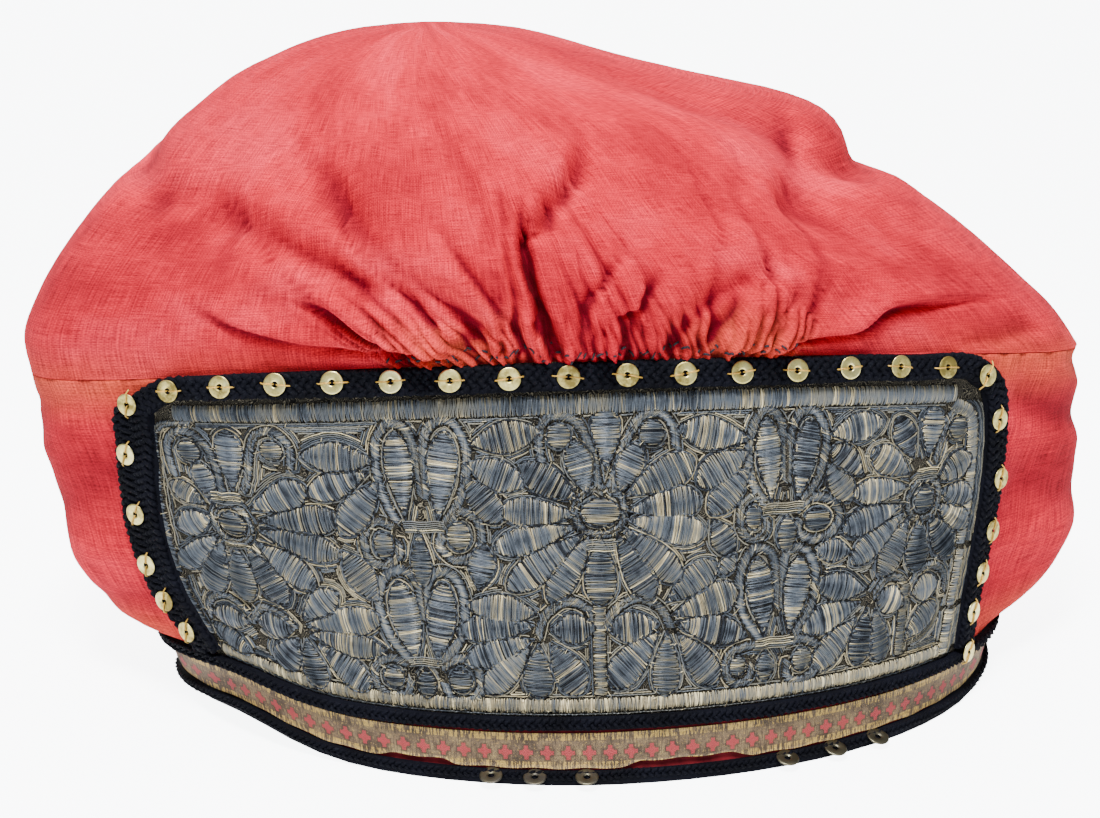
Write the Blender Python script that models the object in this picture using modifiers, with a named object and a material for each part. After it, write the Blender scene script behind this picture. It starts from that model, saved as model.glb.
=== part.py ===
"""Embroidered headdress: a soft red cap that stands on its rim, with a stiff embroidered front.

The origin lies on the table under the middle of the cap, +Z is up and the embroidered front faces -Y.
Sizes in the tables are millimetres. A place on the wall is given by three values:
    along  the way round from the middle of the front, in millimetres measured near the top edge
    up     the height measured up the sloping wall from the rim
    out    the distance from the wall's outer face, positive away from the head
"""

import bmesh
import bpy
import numpy as np

MM = 0.001
GAP = 0.3
SEAM_GAP = 0.5

# Two ovals, seen from above. Each quarter has its own half-axes and its own squareness (2 is an ellipse).
RIM = dict(left=103.0, right=103.0, front=67.5, back=58.0, middle_y=8.0, left_power=1.86, right_power=2.06)
TOP = dict(left=139.0, right=132.6, front=60.8, back=70.4, middle_y=28.8, left_power=2.0, right_power=2.0)

# Moves the ovals so that the origin is under the middle of the cap's box.
SHIFT_X = 2.9
SHIFT_Y = -19.6

# Height of the wall's top edge above the table.
TOP_HEIGHT = dict(front=91.3, side=75.5, back=73.0)
WALL_SLANT = 96.5

# The front panel ends at this distance along, near the top edge and at the rim.
PANEL_END_TOP = 111.5
PANEL_END_RIM = 98.0
SEAM_UP = 14.9

# The side cloth swells over the rim, more on the right than on the left.
SWELL_LEFT = 15.0
SWELL_RIGHT = 20.5

# The rim rises a little off the table at the left corner.
CORNER_LIFT = dict(along=-108.0, width=24.0, height=5.5)

CLOTH = 1.0
BAND_CLOTH = 1.4
PANEL_THICKNESS = 2.2
PETAL_HEIGHT = 1.1

# Sections of the crown from its seam (rise 0) to its peak (rise 1).
CROWN_COLUMNS = ("rise", "height", "left", "right", "front", "back", "middle_x", "middle_y")
CROWN_SECTIONS = (
    (0.00, 75.5, 139.0, 132.6, 60.8, 70.4, 0.0, 28.8),
    (0.08, 84.6, 138.2, 127.6, 62.0, 71.2, -1.6, 29.2),
    (0.20, 98.0, 129.0, 116.0, 63.0, 72.0, -5.0, 30.0),
    (0.40, 118.0, 106.4, 93.0, 60.0, 66.0, -12.0, 33.0),
    (0.60, 136.0, 79.0, 78.0, 49.0, 54.0, -20.0, 37.0),
    (0.80, 150.0, 47.6, 41.4, 31.0, 37.0, -30.0, 41.0),
    (0.92, 156.5, 22.0, 21.0, 15.0, 19.0, -35.0, 43.0),
    (1.00, 158.5, 0.0, 0.0, 0.0, 0.0, -37.0, 44.0),
)

# Folds of the crown. Each runs along a bend through three places, and sinks in or stands out.
FOLD_COLUMNS = ("from_along", "from_rise", "by_along", "by_rise", "to_along", "to_rise", "width", "height")
FOLDS = (
    (-22, 0.12, -47, 0.36, -106, 0.68, 8.0, -3.6),
    (-30, 0.12, -60, 0.33, -118, 0.58, 8.0, 2.6),
    (-37, 0.14, -70, 0.33, -118, 0.43, 7.0, -3.0),
    (-46, 0.07, -68, 0.15, -100, 0.20, 5.0, -1.8),
    (-13, 0.08, -16, 0.40, 18, 0.64, 7.0, -3.2),
    (-3, 0.10, -6, 0.36, 26, 0.56, 7.5, 2.6),
    (3, 0.10, 11, 0.20, 18, 0.33, 4.5, -1.8),
    (16, 0.09, 40, 0.28, 106, 0.53, 7.0, -2.6),
    (28, 0.06, 46, 0.18, 68, 0.26, 6.0, -2.2),
    (36, 0.05, 66, 0.14, 128, 0.13, 6.5, -3.2),
    (120, 0.57, 150, 0.57, 190, 0.54, 10.0, 2.8),
    (118, 0.34, 140, 0.34, 180, 0.34, 11.0, 1.6),
    (118, 0.47, 136, 0.48, 165, 0.47, 6.0, -2.8),
)

# The crown is gathered to the panel between these places.
GATHER_FROM = -54.0
GATHER_TO = 40.0
GATHER_PITCH = 6.0
GATHER_DEPTH = 0.9
GATHER_REACH = 0.16
GATHER_EDGE = 8.0

# The crown's grid: its rows as rises, its columns behind the gathers, and its length from seam to peak.
CROWN_ROWS = (0.0, 0.05, 0.11, 0.19, 0.28, 0.38, 0.49, 0.61, 0.74, 0.88)
CROWN_COLUMNS_BEHIND = 34
COLUMNS_PER_GATHER = 3
RISE_LENGTH = 105.0

# Centre line and width of the navy braid that frames the panel's top and ends.
FRAME_LEFT = (
    (-113.0, 16.0), (-116.8, 28.0), (-118.0, 42.0), (-116.8, 60.0), (-114.0, 78.0), (-111.8, 88.4),
)
FRAME_TOP = (
    (-105.0, 92.9), (-92.0, 93.5), (-75.0, 93.5), (-50.0, 93.0), (0.0, 92.8), (45.0, 92.9), (75.0, 93.3),
    (93.0, 92.4),
)
FRAME_RIGHT = (
    (99.2, 88.2), (102.8, 78.0), (105.0, 62.0), (105.4, 46.0), (105.0, 30.0), (105.4, 16.0),
)
FRAME_WIDTH = 6.4
BRAID_THICKNESS = 1.7
BRAID_CHAMFER = 0.7

# Three bands go round the whole rim: lowest edge, highest edge and thickness.
BASE_BRAID = dict(low=11.6, high=14.9, thickness=1.6)
RIBBON = dict(low=2.9, high=11.2, thickness=0.6)
RIM_BRAID = dict(low=0.0, high=2.5, thickness=2.0)
LINING = dict(low=0.6, high=14.4, thickness=1.2)

SEQUIN_RADIUS = 2.8
SEQUIN_HOLE = 0.85
SEQUIN_THICKNESS = 0.35
SEQUIN_STEP = 13.2
SEQUIN_FIRST = -102.0
SEQUIN_UPS = (93.4, 93.9, 93.9, 93.7, 93.3, 92.9, 92.8, 92.8, 92.8, 92.8, 92.8, 93.0, 93.4, 93.6, 93.3)
SEQUIN_PLACES = (
    (-112.8, 90.0), (-115.6, 75.4), (-117.6, 57.2), (-119.0, 41.5), (-118.2, 30.5), (-115.8, 21.5),
    (95.4, 91.0), (101.9, 79.0), (106.4, 62.5), (107.0, 48.0), (105.8, 36.5), (104.6, 26.0), (105.8, 14.6),
)
RIM_SEQUINS = (-33.0, -22.0, -9.0, 43.5, 57.5, 71.0)
RIM_SEQUIN_UP = 3.4
RIM_SEQUIN_TILT = 0.35

# Padded petals and leaves of the embroidery, one row each: foot, tip and greatest width.
PETAL_COLUMNS = ("foot_along", "foot_up", "tip_along", "tip_up", "width")
PETALS = {
    "centre rosette": (
        (-1.4, 71.5, -1.3, 85.0, 6.0), (1.0, 65.8, 6.2, 77.6, 6.0), (2.6, 65.2, 19.2, 73.0, 7.0),
        (3.5, 61.8, 21.0, 63.6, 6.8), (3.0, 59.8, 22.0, 55.8, 6.4), (1.5, 58.2, 15.8, 45.4, 6.2),
        (0.4, 56.6, 8.8, 41.4, 6.2), (-3.5, 56.6, -3.7, 40.4, 6.8), (-5.6, 56.4, -16.2, 41.6, 5.8),
        (-7.4, 56.8, -26.0, 44.4, 6.4), (-9.0, 58.6, -28.8, 53.8, 5.8), (-8.6, 61.2, -26.6, 62.6, 5.8),
        (-8.6, 64.8, -21.6, 72.8, 6.4), (-6.0, 66.0, -8.8, 78.2, 6.0),
    ),
    "left flower": (
        (-92.2, 66.0, -90.8, 81.8, 6.4), (-98.6, 61.0, -100.8, 73.4, 5.1),
        (-88.6, 61.4, -73.2, 68.0, 6.6), (-87.0, 58.4, -65.6, 60.6, 6.4),
        (-87.2, 55.8, -66.6, 51.6, 6.2), (-89.0, 52.4, -74.4, 43.0, 7.0),
        (-92.2, 50.6, -83.8, 37.2, 7.1), (-95.2, 50.6, -95.6, 35.2, 7.1),
        (-99.0, 50.8, -106.8, 35.2, 7.1), (-100.0, 52.4, -113.8, 41.6, 5.8),
        (-100.6, 57.6, -111.6, 53.4, 6.2), (-101.4, 61.0, -110.4, 66.6, 5.3),
    ),
    "right flower": (
        (82.0, 70.6, 82.6, 82.6, 5.8), (77.4, 70.4, 71.8, 80.8, 5.6), (86.2, 64.0, 95.8, 69.6, 6.6),
        (87.2, 61.0, 98.2, 58.4, 5.8), (86.8, 57.4, 98.6, 50.6, 5.6), (84.2, 55.2, 93.6, 43.4, 6.6),
        (81.2, 54.8, 81.6, 41.0, 6.8), (77.6, 55.2, 70.4, 41.2, 6.4), (75.8, 56.4, 61.2, 45.4, 5.8),
        (75.6, 58.8, 58.2, 54.0, 5.8), (76.4, 63.4, 60.4, 62.6, 5.6), (76.4, 66.4, 65.2, 72.8, 6.4),
    ),
    "lower left flowers": (
        (-79.6, 34.4, -69.0, 42.2, 5.8), (-78.6, 32.8, -58.2, 36.8, 6.2),
        (-78.0, 30.8, -57.8, 28.6, 5.6), (-76.0, 28.0, -63.4, 19.2, 6.8),
        (-79.6, 28.8, -77.6, 16.8, 6.4), (-82.0, 28.4, -88.6, 19.4, 6.6),
        (-82.6, 30.8, -93.4, 30.0, 5.8), (-96.4, 28.6, -108.8, 28.2, 5.6),
        (-110.2, 25.2, -98.6, 19.0, 5.5),
    ),
    "lower middle flowers": (
        (-19.4, 38.8, -36.6, 40.6, 6.4), (-20.4, 36.0, -39.2, 34.6, 6.0),
        (-20.6, 32.8, -37.8, 27.2, 5.8), (-21.2, 31.2, -33.2, 20.4, 6.0),
        (-19.4, 31.6, -20.2, 19.2, 6.4), (-16.6, 31.8, -9.2, 20.4, 7.1), (-16.0, 35.0, -5.4, 35.2, 6.2),
        (-2.4, 34.8, 10.0, 35.4, 6.4), (10.2, 33.6, -2.0, 21.8, 7.1), (12.4, 33.6, 11.8, 19.0, 6.2),
        (15.2, 33.0, 24.8, 20.8, 6.6), (14.6, 35.6, 32.6, 31.4, 6.0), (13.6, 37.2, 30.4, 42.0, 6.6),
    ),
    "lower right flowers": (
        (66.0, 38.4, 51.2, 41.8, 6.2), (64.4, 35.6, 47.6, 31.2, 6.2), (63.6, 31.8, 51.8, 21.2, 6.4),
        (66.8, 33.8, 64.8, 20.2, 6.2), (69.4, 33.2, 72.4, 20.0, 5.6), (69.4, 36.8, 78.2, 33.0, 6.4),
        (81.0, 35.4, 89.8, 37.0, 6.4), (80.0, 23.8, 90.2, 31.2, 6.0),
    ),
    "filling leaves": (
        (-32.8, 78.0, -16.4, 80.8, 6.6), (15.0, 80.4, 32.6, 77.2, 7.0), (32.8, 74.6, 20.4, 67.4, 7.1),
        (33.2, 70.6, 23.2, 60.2, 6.4), (-34.2, 73.8, -20.8, 68.2, 6.4), (-35.2, 70.6, -26.8, 60.0, 6.4),
        (-55.4, 74.6, -73.0, 76.0, 6.8), (-57.2, 71.8, -72.8, 66.2, 6.0),
        (-54.8, 69.8, -65.8, 56.8, 6.8), (53.6, 77.4, 67.4, 80.2, 6.4), (63.0, 67.2, 54.2, 74.4, 5.8),
        (52.8, 70.6, 59.8, 61.2, 5.8), (-66.2, 52.8, -58.4, 41.2, 6.8), (60.8, 48.6, 50.8, 50.0, 4.9),
        (-33.2, 44.4, -31.2, 54.8, 5.8), (12.4, 40.4, 24.8, 48.8, 6.2), (24.0, 58.8, 28.8, 50.2, 5.5),
        (29.6, 50.6, 26.0, 45.8, 3.4),
    ),
    "paired columns": (
        (-49.4, 60.6, -50.2, 81.2, 5.8), (-41.6, 60.4, -38.4, 81.2, 6.2),
        (-50.2, 26.6, -53.0, 45.8, 7.0), (-44.8, 26.8, -41.6, 45.6, 6.6), (38.8, 62.0, 37.0, 81.8, 5.5),
        (45.4, 62.0, 48.4, 81.2, 5.6), (37.8, 30.6, 35.2, 49.2, 6.2), (44.2, 30.6, 46.8, 48.6, 6.4),
        (-46.6, 58.2, -46.6, 44.8, 4.3), (-48.2, 25.4, -48.2, 18.4, 4.3), (43.0, 59.0, 43.0, 50.2, 4.3),
        (38.0, 27.2, 38.0, 20.0, 4.1),
    ),
}

# Round bosses: the hearts of the rosettes, the scrolls beside the columns and the balls on the feelers.
BOSS_COLUMNS = ("along", "up", "radius")
BOSSES = (
    (-3.2, 61.6, 4.2), (-94.6, 56.6, 3.6), (82.0, 59.3, 3.4), (-12.2, 79.4, 2.7), (9.4, 79.4, 2.8),
    (-102.2, 76.0, 2.9), (-80.2, 77.0, 2.6), (90.6, 77.2, 2.6), (-55.4, 54.4, 2.6), (-37.0, 56.8, 3.0),
    (-56.6, 22.6, 2.5), (-39.4, 22.8, 2.7), (34.2, 58.8, 2.4), (51.0, 57.4, 3.0), (30.6, 24.2, 2.2),
    (48.2, 24.0, 2.7),
)

# The flat satin roll along the panel's top edge.
ROLL = dict(from_along=-103.5, to_along=86.0, low=84.4, high=88.4, height=1.0, slope=0.6)


def clear_scene():
    for obj in list(bpy.data.objects):
        bpy.data.objects.remove(obj, do_unlink=True)


def material(name, color, roughness, metallic=0.0):
    made = bpy.data.materials.new(name)
    made.use_nodes = True
    shader = made.node_tree.nodes["Principled BSDF"]
    shader.inputs["Base Color"].default_value = (*color, 1.0)
    shader.inputs["Roughness"].default_value = roughness
    shader.inputs["Metallic"].default_value = metallic
    return made


def smooth_step(low, high, value):
    t = np.clip((value - low) / (high - low), 0.0, 1.0)
    return t * t * (3.0 - 2.0 * t)


def through(knots, values, at):
    """A smooth curve through the values at the knots."""
    slopes = np.gradient(values, knots)
    at = np.clip(at, knots[0], knots[-1])
    i = np.clip(np.searchsorted(knots, at, side="right") - 1, 0, len(knots) - 2)
    width = knots[i + 1] - knots[i]
    t = (at - knots[i]) / width
    start = values[i] * (1 + 2 * t) * (1 - t) ** 2 + slopes[i] * width * t * (1 - t) ** 2
    end = values[i + 1] * t**2 * (3 - 2 * t) + slopes[i + 1] * width * t**2 * (t - 1)
    return start + end


def oval(plan, bearing):
    """Points of an oval, at bearings from -pi to pi with the front at 0."""
    side, ahead = np.sin(bearing), np.cos(bearing)
    power = 2.0 / np.where(side < 0, plan["left_power"], plan["right_power"])
    power = np.where(ahead > 0, power, 1.0)
    x = np.where(side < 0, plan["left"], plan["right"]) * np.sign(side) * np.abs(side) ** power
    y = np.where(ahead > 0, plan["front"], plan["back"]) * np.sign(ahead) * np.abs(ahead) ** power
    return np.stack([x + plan.get("middle_x", 0.0), plan["middle_y"] - y], axis=-1)


BEARINGS = np.linspace(-np.pi, np.pi, 4001)


def walk(plan):
    """An oval's points with the distance walked to each from the middle of the front."""
    points = oval(plan, BEARINGS)
    steps = np.hypot(*np.diff(points, axis=0).T)
    walked = np.concatenate([[0.0], np.cumsum(steps)])
    return points, walked - np.interp(0.0, BEARINGS, walked)


RIM_POINTS, RIM_WALK = walk(RIM)
TOP_POINTS, TOP_WALK = walk(TOP)
ROUND = 2.0 * PANEL_END_TOP
LEFT_BACK, RIGHT_BACK = -ROUND, ROUND


def place_on(points, walked, panel_end, along):
    """A point of an oval. The panel's own stretch keeps its length, and the rest shares what is left."""
    at = np.interp(
        along,
        [LEFT_BACK, -PANEL_END_TOP, PANEL_END_TOP, RIGHT_BACK],
        [walked[0], -panel_end, panel_end, walked[-1]],
    )
    point = np.stack([np.interp(at, walked, points[:, k]) for k in (0, 1)], axis=-1)
    return point, np.interp(at, walked, BEARINGS)


def top_height(bearing):
    ahead = np.cos(bearing)
    front = (TOP_HEIGHT["front"] - TOP_HEIGHT["side"]) * np.abs(ahead) ** 1.6
    back = (TOP_HEIGHT["back"] - TOP_HEIGHT["side"]) * ahead**2
    return TOP_HEIGHT["side"] + np.where(ahead > 0, front, back)


def wall_face(along, up):
    """The wall's outer face: straight from rim to top at the front, swelling out round the sides."""
    along = (along - LEFT_BACK) % (2 * ROUND) + LEFT_BACK
    share = up / WALL_SLANT
    low, _ = place_on(RIM_POINTS, RIM_WALK, PANEL_END_RIM, along)
    high, bearing = place_on(TOP_POINTS, TOP_WALK, PANEL_END_TOP, along)
    flat = low + (high - low) * share[..., None]
    above = np.clip((up - SEAM_UP) / (WALL_SLANT - SEAM_UP), 0.0, 1.0)
    swell = SWELL_LEFT + (SWELL_RIGHT - SWELL_LEFT) * (0.5 + 0.5 * np.sin(bearing))
    swell = swell * smooth_step(114.0, 142.0, np.abs(along)) * np.sin(np.pi * above**0.45)
    flat = flat + np.stack([np.sin(bearing), -np.cos(bearing)], axis=-1) * swell[..., None]
    lift = CORNER_LIFT["height"] * np.exp(-(((along - CORNER_LIFT["along"]) / CORNER_LIFT["width"]) ** 2))
    height = top_height(bearing) * share + lift * (1 - np.clip(share, 0.0, 1.0))
    shift = np.array([SHIFT_X, SHIFT_Y])
    return np.concatenate([flat + shift, height[..., None]], axis=-1)


def wall(along, up, out=0.0):
    """Points of the wall in millimetres, out along the wall's own normal."""
    along, up, out = np.broadcast_arrays(*(np.asarray(part, float) for part in (along, up, out)))
    sideways = wall_face(along + 0.3, up) - wall_face(along - 0.3, up)
    upwards = wall_face(along, up + 0.3) - wall_face(along, up - 0.3)
    normal = np.cross(sideways, upwards)
    normal = normal / np.linalg.norm(normal, axis=-1, keepdims=True)
    return wall_face(along, up) + normal * out[..., None]


def crown_smooth(along, rise):
    """The crown without folds: ovals that shrink and shift towards the peak."""
    table = np.array(CROWN_SECTIONS)
    at = {name: through(table[:, 0], table[:, i], rise) for i, name in enumerate(CROWN_COLUMNS)}
    _, bearing = place_on(TOP_POINTS, TOP_WALK, PANEL_END_TOP, (along - LEFT_BACK) % (2 * ROUND) + LEFT_BACK)
    side, ahead = np.sin(bearing), np.cos(bearing)
    x = np.where(side < 0, at["left"], at["right"]) * side + at["middle_x"] + SHIFT_X
    y = at["middle_y"] - np.where(ahead > 0, at["front"], at["back"]) * ahead + SHIFT_Y
    height = at["height"] + (top_height(bearing) - TOP_HEIGHT["side"]) * (1 - rise) ** 2
    return np.stack([x, y, height], axis=-1)


def fold_offset(along, rise):
    """How far each place of the crown stands out or sinks in, from the folds and the gathers."""
    offset = np.zeros(along.shape)
    t = np.linspace(0.0, 1.0, 33)
    for row in FOLDS:
        fold = dict(zip(FOLD_COLUMNS, row))
        near, between, far = (1 - t) ** 2, 2 * t * (1 - t), t**2
        line_along = fold["from_along"] * near + fold["by_along"] * between + fold["to_along"] * far
        line_rise = fold["from_rise"] * near + fold["by_rise"] * between + fold["to_rise"] * far
        narrowing = 1.0 - 0.6 * rise[..., None]
        gap_along = (along[..., None] - line_along) * narrowing
        gap_rise = (rise[..., None] - line_rise) * RISE_LENGTH
        nearest = np.sqrt((gap_along**2 + gap_rise**2).min(axis=-1))
        offset += fold["height"] * np.exp(-((nearest / fold["width"]) ** 2))
    started = smooth_step(GATHER_FROM, GATHER_FROM + GATHER_EDGE, along)
    inside = started * (1 - smooth_step(GATHER_TO - GATHER_EDGE, GATHER_TO, along))
    fade = np.clip(1 - rise / GATHER_REACH, 0.0, 1.0)
    gathers = GATHER_DEPTH * np.cos(2 * np.pi * along / GATHER_PITCH) * inside * fade
    return offset * smooth_step(0.0, 0.08, rise) + gathers


def crown_face(along, rise):
    along, rise = np.broadcast_arrays(along, rise)
    base = crown_smooth(along, rise)
    sideways = crown_smooth(along + 0.5, rise) - crown_smooth(along - 0.5, rise)
    above = crown_smooth(along, np.clip(rise + 0.01, 0, 0.99))
    upwards = above - crown_smooth(along, np.clip(rise - 0.01, 0, 1))
    normal = np.cross(sideways, upwards)
    normal = normal / np.maximum(np.linalg.norm(normal, axis=-1, keepdims=True), 1e-9)
    return base + normal * fold_offset(along, rise)[..., None]


def loft(name, rows, close_rows=False, close_ring=False, caps=False, peak=None):
    """A mesh object through rows of points: each row is a section with the same number of points."""
    mesh = bmesh.new()
    grid = [[mesh.verts.new(point * MM) for point in row] for row in rows]
    columns = len(grid[0])
    last_row = len(grid) if close_rows else len(grid) - 1
    last_column = columns if close_ring else columns - 1
    for i in range(last_row):
        for j in range(last_column):
            here, after = grid[i], grid[(i + 1) % len(grid)]
            mesh.faces.new((here[j], here[(j + 1) % columns], after[(j + 1) % columns], after[j]))
    if caps:
        for ring in (grid[0], grid[-1]):
            for j in range(columns // 2 - 1):
                mesh.faces.new((ring[j], ring[j + 1], ring[columns - 2 - j], ring[columns - 1 - j]))
    if peak is not None:
        top = mesh.verts.new(peak * MM)
        for j in range(last_column):
            mesh.faces.new((grid[-1][j], grid[-1][(j + 1) % columns], top))
    bmesh.ops.triangulate(mesh, faces=mesh.faces)
    bmesh.ops.recalc_face_normals(mesh, faces=mesh.faces)
    data = bpy.data.meshes.new(name)
    mesh.to_mesh(data)
    mesh.free()
    return bpy.data.objects.new(name, data)


def add_to(collection, obj, finish=None):
    collection.objects.link(obj)
    if finish:
        obj.data.materials.append(finish)
    return obj


def solidify(obj, thickness):
    modifier = obj.modifiers.new("cloth thickness", "SOLIDIFY")
    modifier.thickness = thickness * MM
    modifier.offset = -1.0
    return obj


def crown(collection, finish):
    """The gathered crown, a hollow cloth shell: close columns where it is gathered, wide ones behind."""
    start, stop = GATHER_FROM - GATHER_PITCH, GATHER_TO + GATHER_EDGE
    front = np.arange(start, stop, GATHER_PITCH / COLUMNS_PER_GATHER)
    rest = np.linspace(stop, 2 * ROUND + start, CROWN_COLUMNS_BEHIND, endpoint=False)
    along = np.concatenate([front, rest])
    rows = [crown_face(along, np.full(along.shape, rise)) + (0, 0, SEAM_GAP) for rise in CROWN_ROWS]
    last = CROWN_SECTIONS[-1]
    peak = np.array([last[6] + SHIFT_X, last[7] + SHIFT_Y, last[1]])
    shell = loft("crown", rows, close_ring=True, peak=peak)
    return solidify(add_to(collection, shell, finish), CLOTH)


def side_band(collection, finish):
    """The plain red cloth that runs from the panel's left end round the back to its right end."""
    ups = SEAM_UP + GAP + (WALL_SLANT - SEAM_UP - 2 * GAP) * np.linspace(0.0, 1.0, 7) ** 1.8
    shares = np.linspace(0.0, 1.0, 37)
    rows = []
    for up in ups:
        start = frame_middle(up, FRAME_RIGHT)
        end = frame_middle(up, FRAME_LEFT) + 2 * ROUND
        rows.append(wall(start + GAP + (end - start - 2 * GAP) * shares, np.full(shares.shape, up)))
    return solidify(add_to(collection, loft("side_band", rows), finish), BAND_CLOTH)


def frame_middle(up, path):
    """Where the framing braid's centre line stands at a height, on its left or right stretch."""
    along, height = np.array(sorted(path, key=lambda place: place[1])).T
    return float(np.interp(up, height, along))


def front_panel(collection, cutters, finish):
    """The stiff front wall with its padded petals, bosses and satin roll standing up from it."""
    ups = np.linspace(SEAM_UP + GAP, WALL_SLANT - GAP, 4)
    shares = np.linspace(0.0, 1.0, 15)
    rows = []
    for depth, levels in ((0.0, ups), (-PANEL_THICKNESS, ups[::-1])):
        for up in levels:
            start = frame_middle(up, FRAME_LEFT) + GAP
            end = frame_middle(up, FRAME_RIGHT) - GAP
            rows.append(wall(start + (end - start) * shares, np.full(shares.shape, up), depth))
    sections = [[row[i] for row in rows] for i in range(len(shares))]
    panel = add_to(collection, loft("front_panel", sections, close_ring=True, caps=True), finish)
    relief = joined("relief", petals() + bosses() + [roll()])
    cutters.objects.link(relief)
    relief.hide_render = True
    relief.display_type = "WIRE"
    union = panel.modifiers.new("relief", "BOOLEAN")
    union.operation = "UNION"
    union.solver = "EXACT"
    union.use_self = True
    union.object = relief
    return panel


def joined(name, pieces):
    """One mesh object from several."""
    mesh = bmesh.new()
    for piece in pieces:
        mesh.from_mesh(piece.data)
        bpy.data.objects.remove(piece)
    data = bpy.data.meshes.new(name)
    mesh.to_mesh(data)
    mesh.free()
    return bpy.data.objects.new(name, data)


def dome(name, outline, middle, top_share=0.5):
    """A low cushion: an outline sunk into the wall and a smaller one above it."""
    heights = ((1.0, -1.0), (top_share, PETAL_HEIGHT))
    rows = [wall(*(middle + (outline - middle) * share).T, out) for share, out in heights]
    return loft(name, rows, close_ring=True, caps=True)


def petals():
    """A petal is narrow at its foot and widest two thirds of the way to its tip."""
    shape = ((0.0, 0.0), (0.5, 0.9), (0.85, 0.8), (1.0, 0.0), (0.85, -0.8), (0.5, -0.9))
    made = []
    for flower, rows in PETALS.items():
        for row in rows:
            petal = dict(zip(PETAL_COLUMNS, row))
            foot = np.array([petal["foot_along"], petal["foot_up"]])
            axis = np.array([petal["tip_along"], petal["tip_up"]]) - foot
            across = np.array([-axis[1], axis[0]]) / np.hypot(*axis) * petal["width"] / 2
            outline = np.array([foot + axis * share + across * side for share, side in shape])
            made.append(dome(flower, outline, foot + axis * 0.6))
    return made


def bosses():
    made = []
    turns = np.linspace(0, 2 * np.pi, 6, endpoint=False)
    for row in BOSSES:
        boss = dict(zip(BOSS_COLUMNS, row))
        middle = np.array([boss["along"], boss["up"]])
        ring = middle + boss["radius"] * np.stack([np.cos(turns), np.sin(turns)], axis=-1)
        made.append(dome("boss", ring, middle))
    return made


def roll():
    along = np.linspace(ROLL["from_along"], ROLL["to_along"], 17)
    low, high, slope = ROLL["low"], ROLL["high"], ROLL["slope"]
    corners = ((low, -1.0), (low + slope, ROLL["height"]), (high - slope, ROLL["height"]), (high, -1.0))
    sections = [[wall(a, up, out) for up, out in corners] for a in along]
    return loft("roll", sections, close_ring=True, caps=True)


def frame_braid(collection, finish):
    """The navy braid up the panel's left end, along its top and down its right end."""
    path = np.array(FRAME_LEFT + FRAME_TOP + FRAME_RIGHT)
    steps = np.hypot(*np.diff(path, axis=0).T)
    walked = np.concatenate([[0.0], np.cumsum(steps)])
    at = np.linspace(0.0, walked[-1], 45)
    line = np.stack([through(walked, path[:, k], at) for k in (0, 1)], axis=-1)
    ahead = np.gradient(line, axis=0)
    across = np.stack([-ahead[:, 1], ahead[:, 0]], axis=-1) / np.hypot(*ahead.T)[:, None]
    half = FRAME_WIDTH / 2
    flat, top = half - BRAID_CHAMFER, GAP + BRAID_THICKNESS
    corners = ((-half, GAP), (-flat, top), (flat, top), (half, GAP))
    sections = []
    for middle, side in zip(line, across):
        sections.append([wall(*(middle + side * shift), out) for shift, out in corners])
    return add_to(collection, loft("frame_braid", sections, close_ring=True, caps=True), finish)


def hoop(name, collection, finish, band, inside=GAP, chamfer=0.0, stand=False):
    """A band round the whole rim, from its lowest to its highest edge."""
    along = np.linspace(LEFT_BACK, RIGHT_BACK, 50, endpoint=False)
    low, high = band["low"], band["high"]
    outside = inside + band["thickness"]
    corners = ((low, inside), (low + chamfer, outside), (high - chamfer, outside), (high, inside))
    rows = [wall(along, np.full(along.shape, up), np.full(along.shape, out)) for up, out in corners]
    if stand:
        lift = wall_face(along, np.zeros(along.shape))[:, 2]
        for row in rows[:2]:
            row[:, 2] = lift
    return add_to(collection, loft(name, rows, close_rows=True, close_ring=True), finish)


def sequin(name, collection, finish, along, up, out, tilt=0.0):
    """A flat brass disc with a round hole, lying on the braid."""
    turns = np.linspace(0, 2 * np.pi, 8, endpoint=False)
    middle = wall(along, up, out)
    side = wall(along + 1.0, up, out) - middle
    rising = wall(along, up + 1.0, out) - middle
    side = side / np.linalg.norm(side)
    face = np.cross(side, rising)
    face = face / np.linalg.norm(face)
    rising = np.cross(face, side)
    lean, upright = np.sin(tilt), np.cos(tilt)
    face, rising = face * upright + rising * lean, rising * upright - face * lean
    circle = [side * np.cos(t) + rising * np.sin(t) for t in turns]
    rows = []
    for radius in (SEQUIN_RADIUS, SEQUIN_HOLE):
        bottom = [middle + direction * radius for direction in circle]
        top = [point + face * SEQUIN_THICKNESS for point in bottom]
        rows += [bottom, top] if radius == SEQUIN_RADIUS else [top, bottom]
    return add_to(collection, loft(name, rows, close_rows=True, close_ring=True), finish)


def sequins(collection, finish):
    lie = GAP + BRAID_THICKNESS + GAP
    places = [(SEQUIN_FIRST + SEQUIN_STEP * i, up) for i, up in enumerate(SEQUIN_UPS)]
    for i, (along, up) in enumerate(places + list(SEQUIN_PLACES)):
        sequin(f"sequin_{i + 1:02d}", collection, finish, along, up, lie)
    for i, along in enumerate(RIM_SEQUINS):
        out = GAP + RIM_BRAID["thickness"] + GAP
        sequin(f"rim_sequin_{i + 1:02d}", collection, finish, along, RIM_SEQUIN_UP, out, RIM_SEQUIN_TILT)


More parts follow.
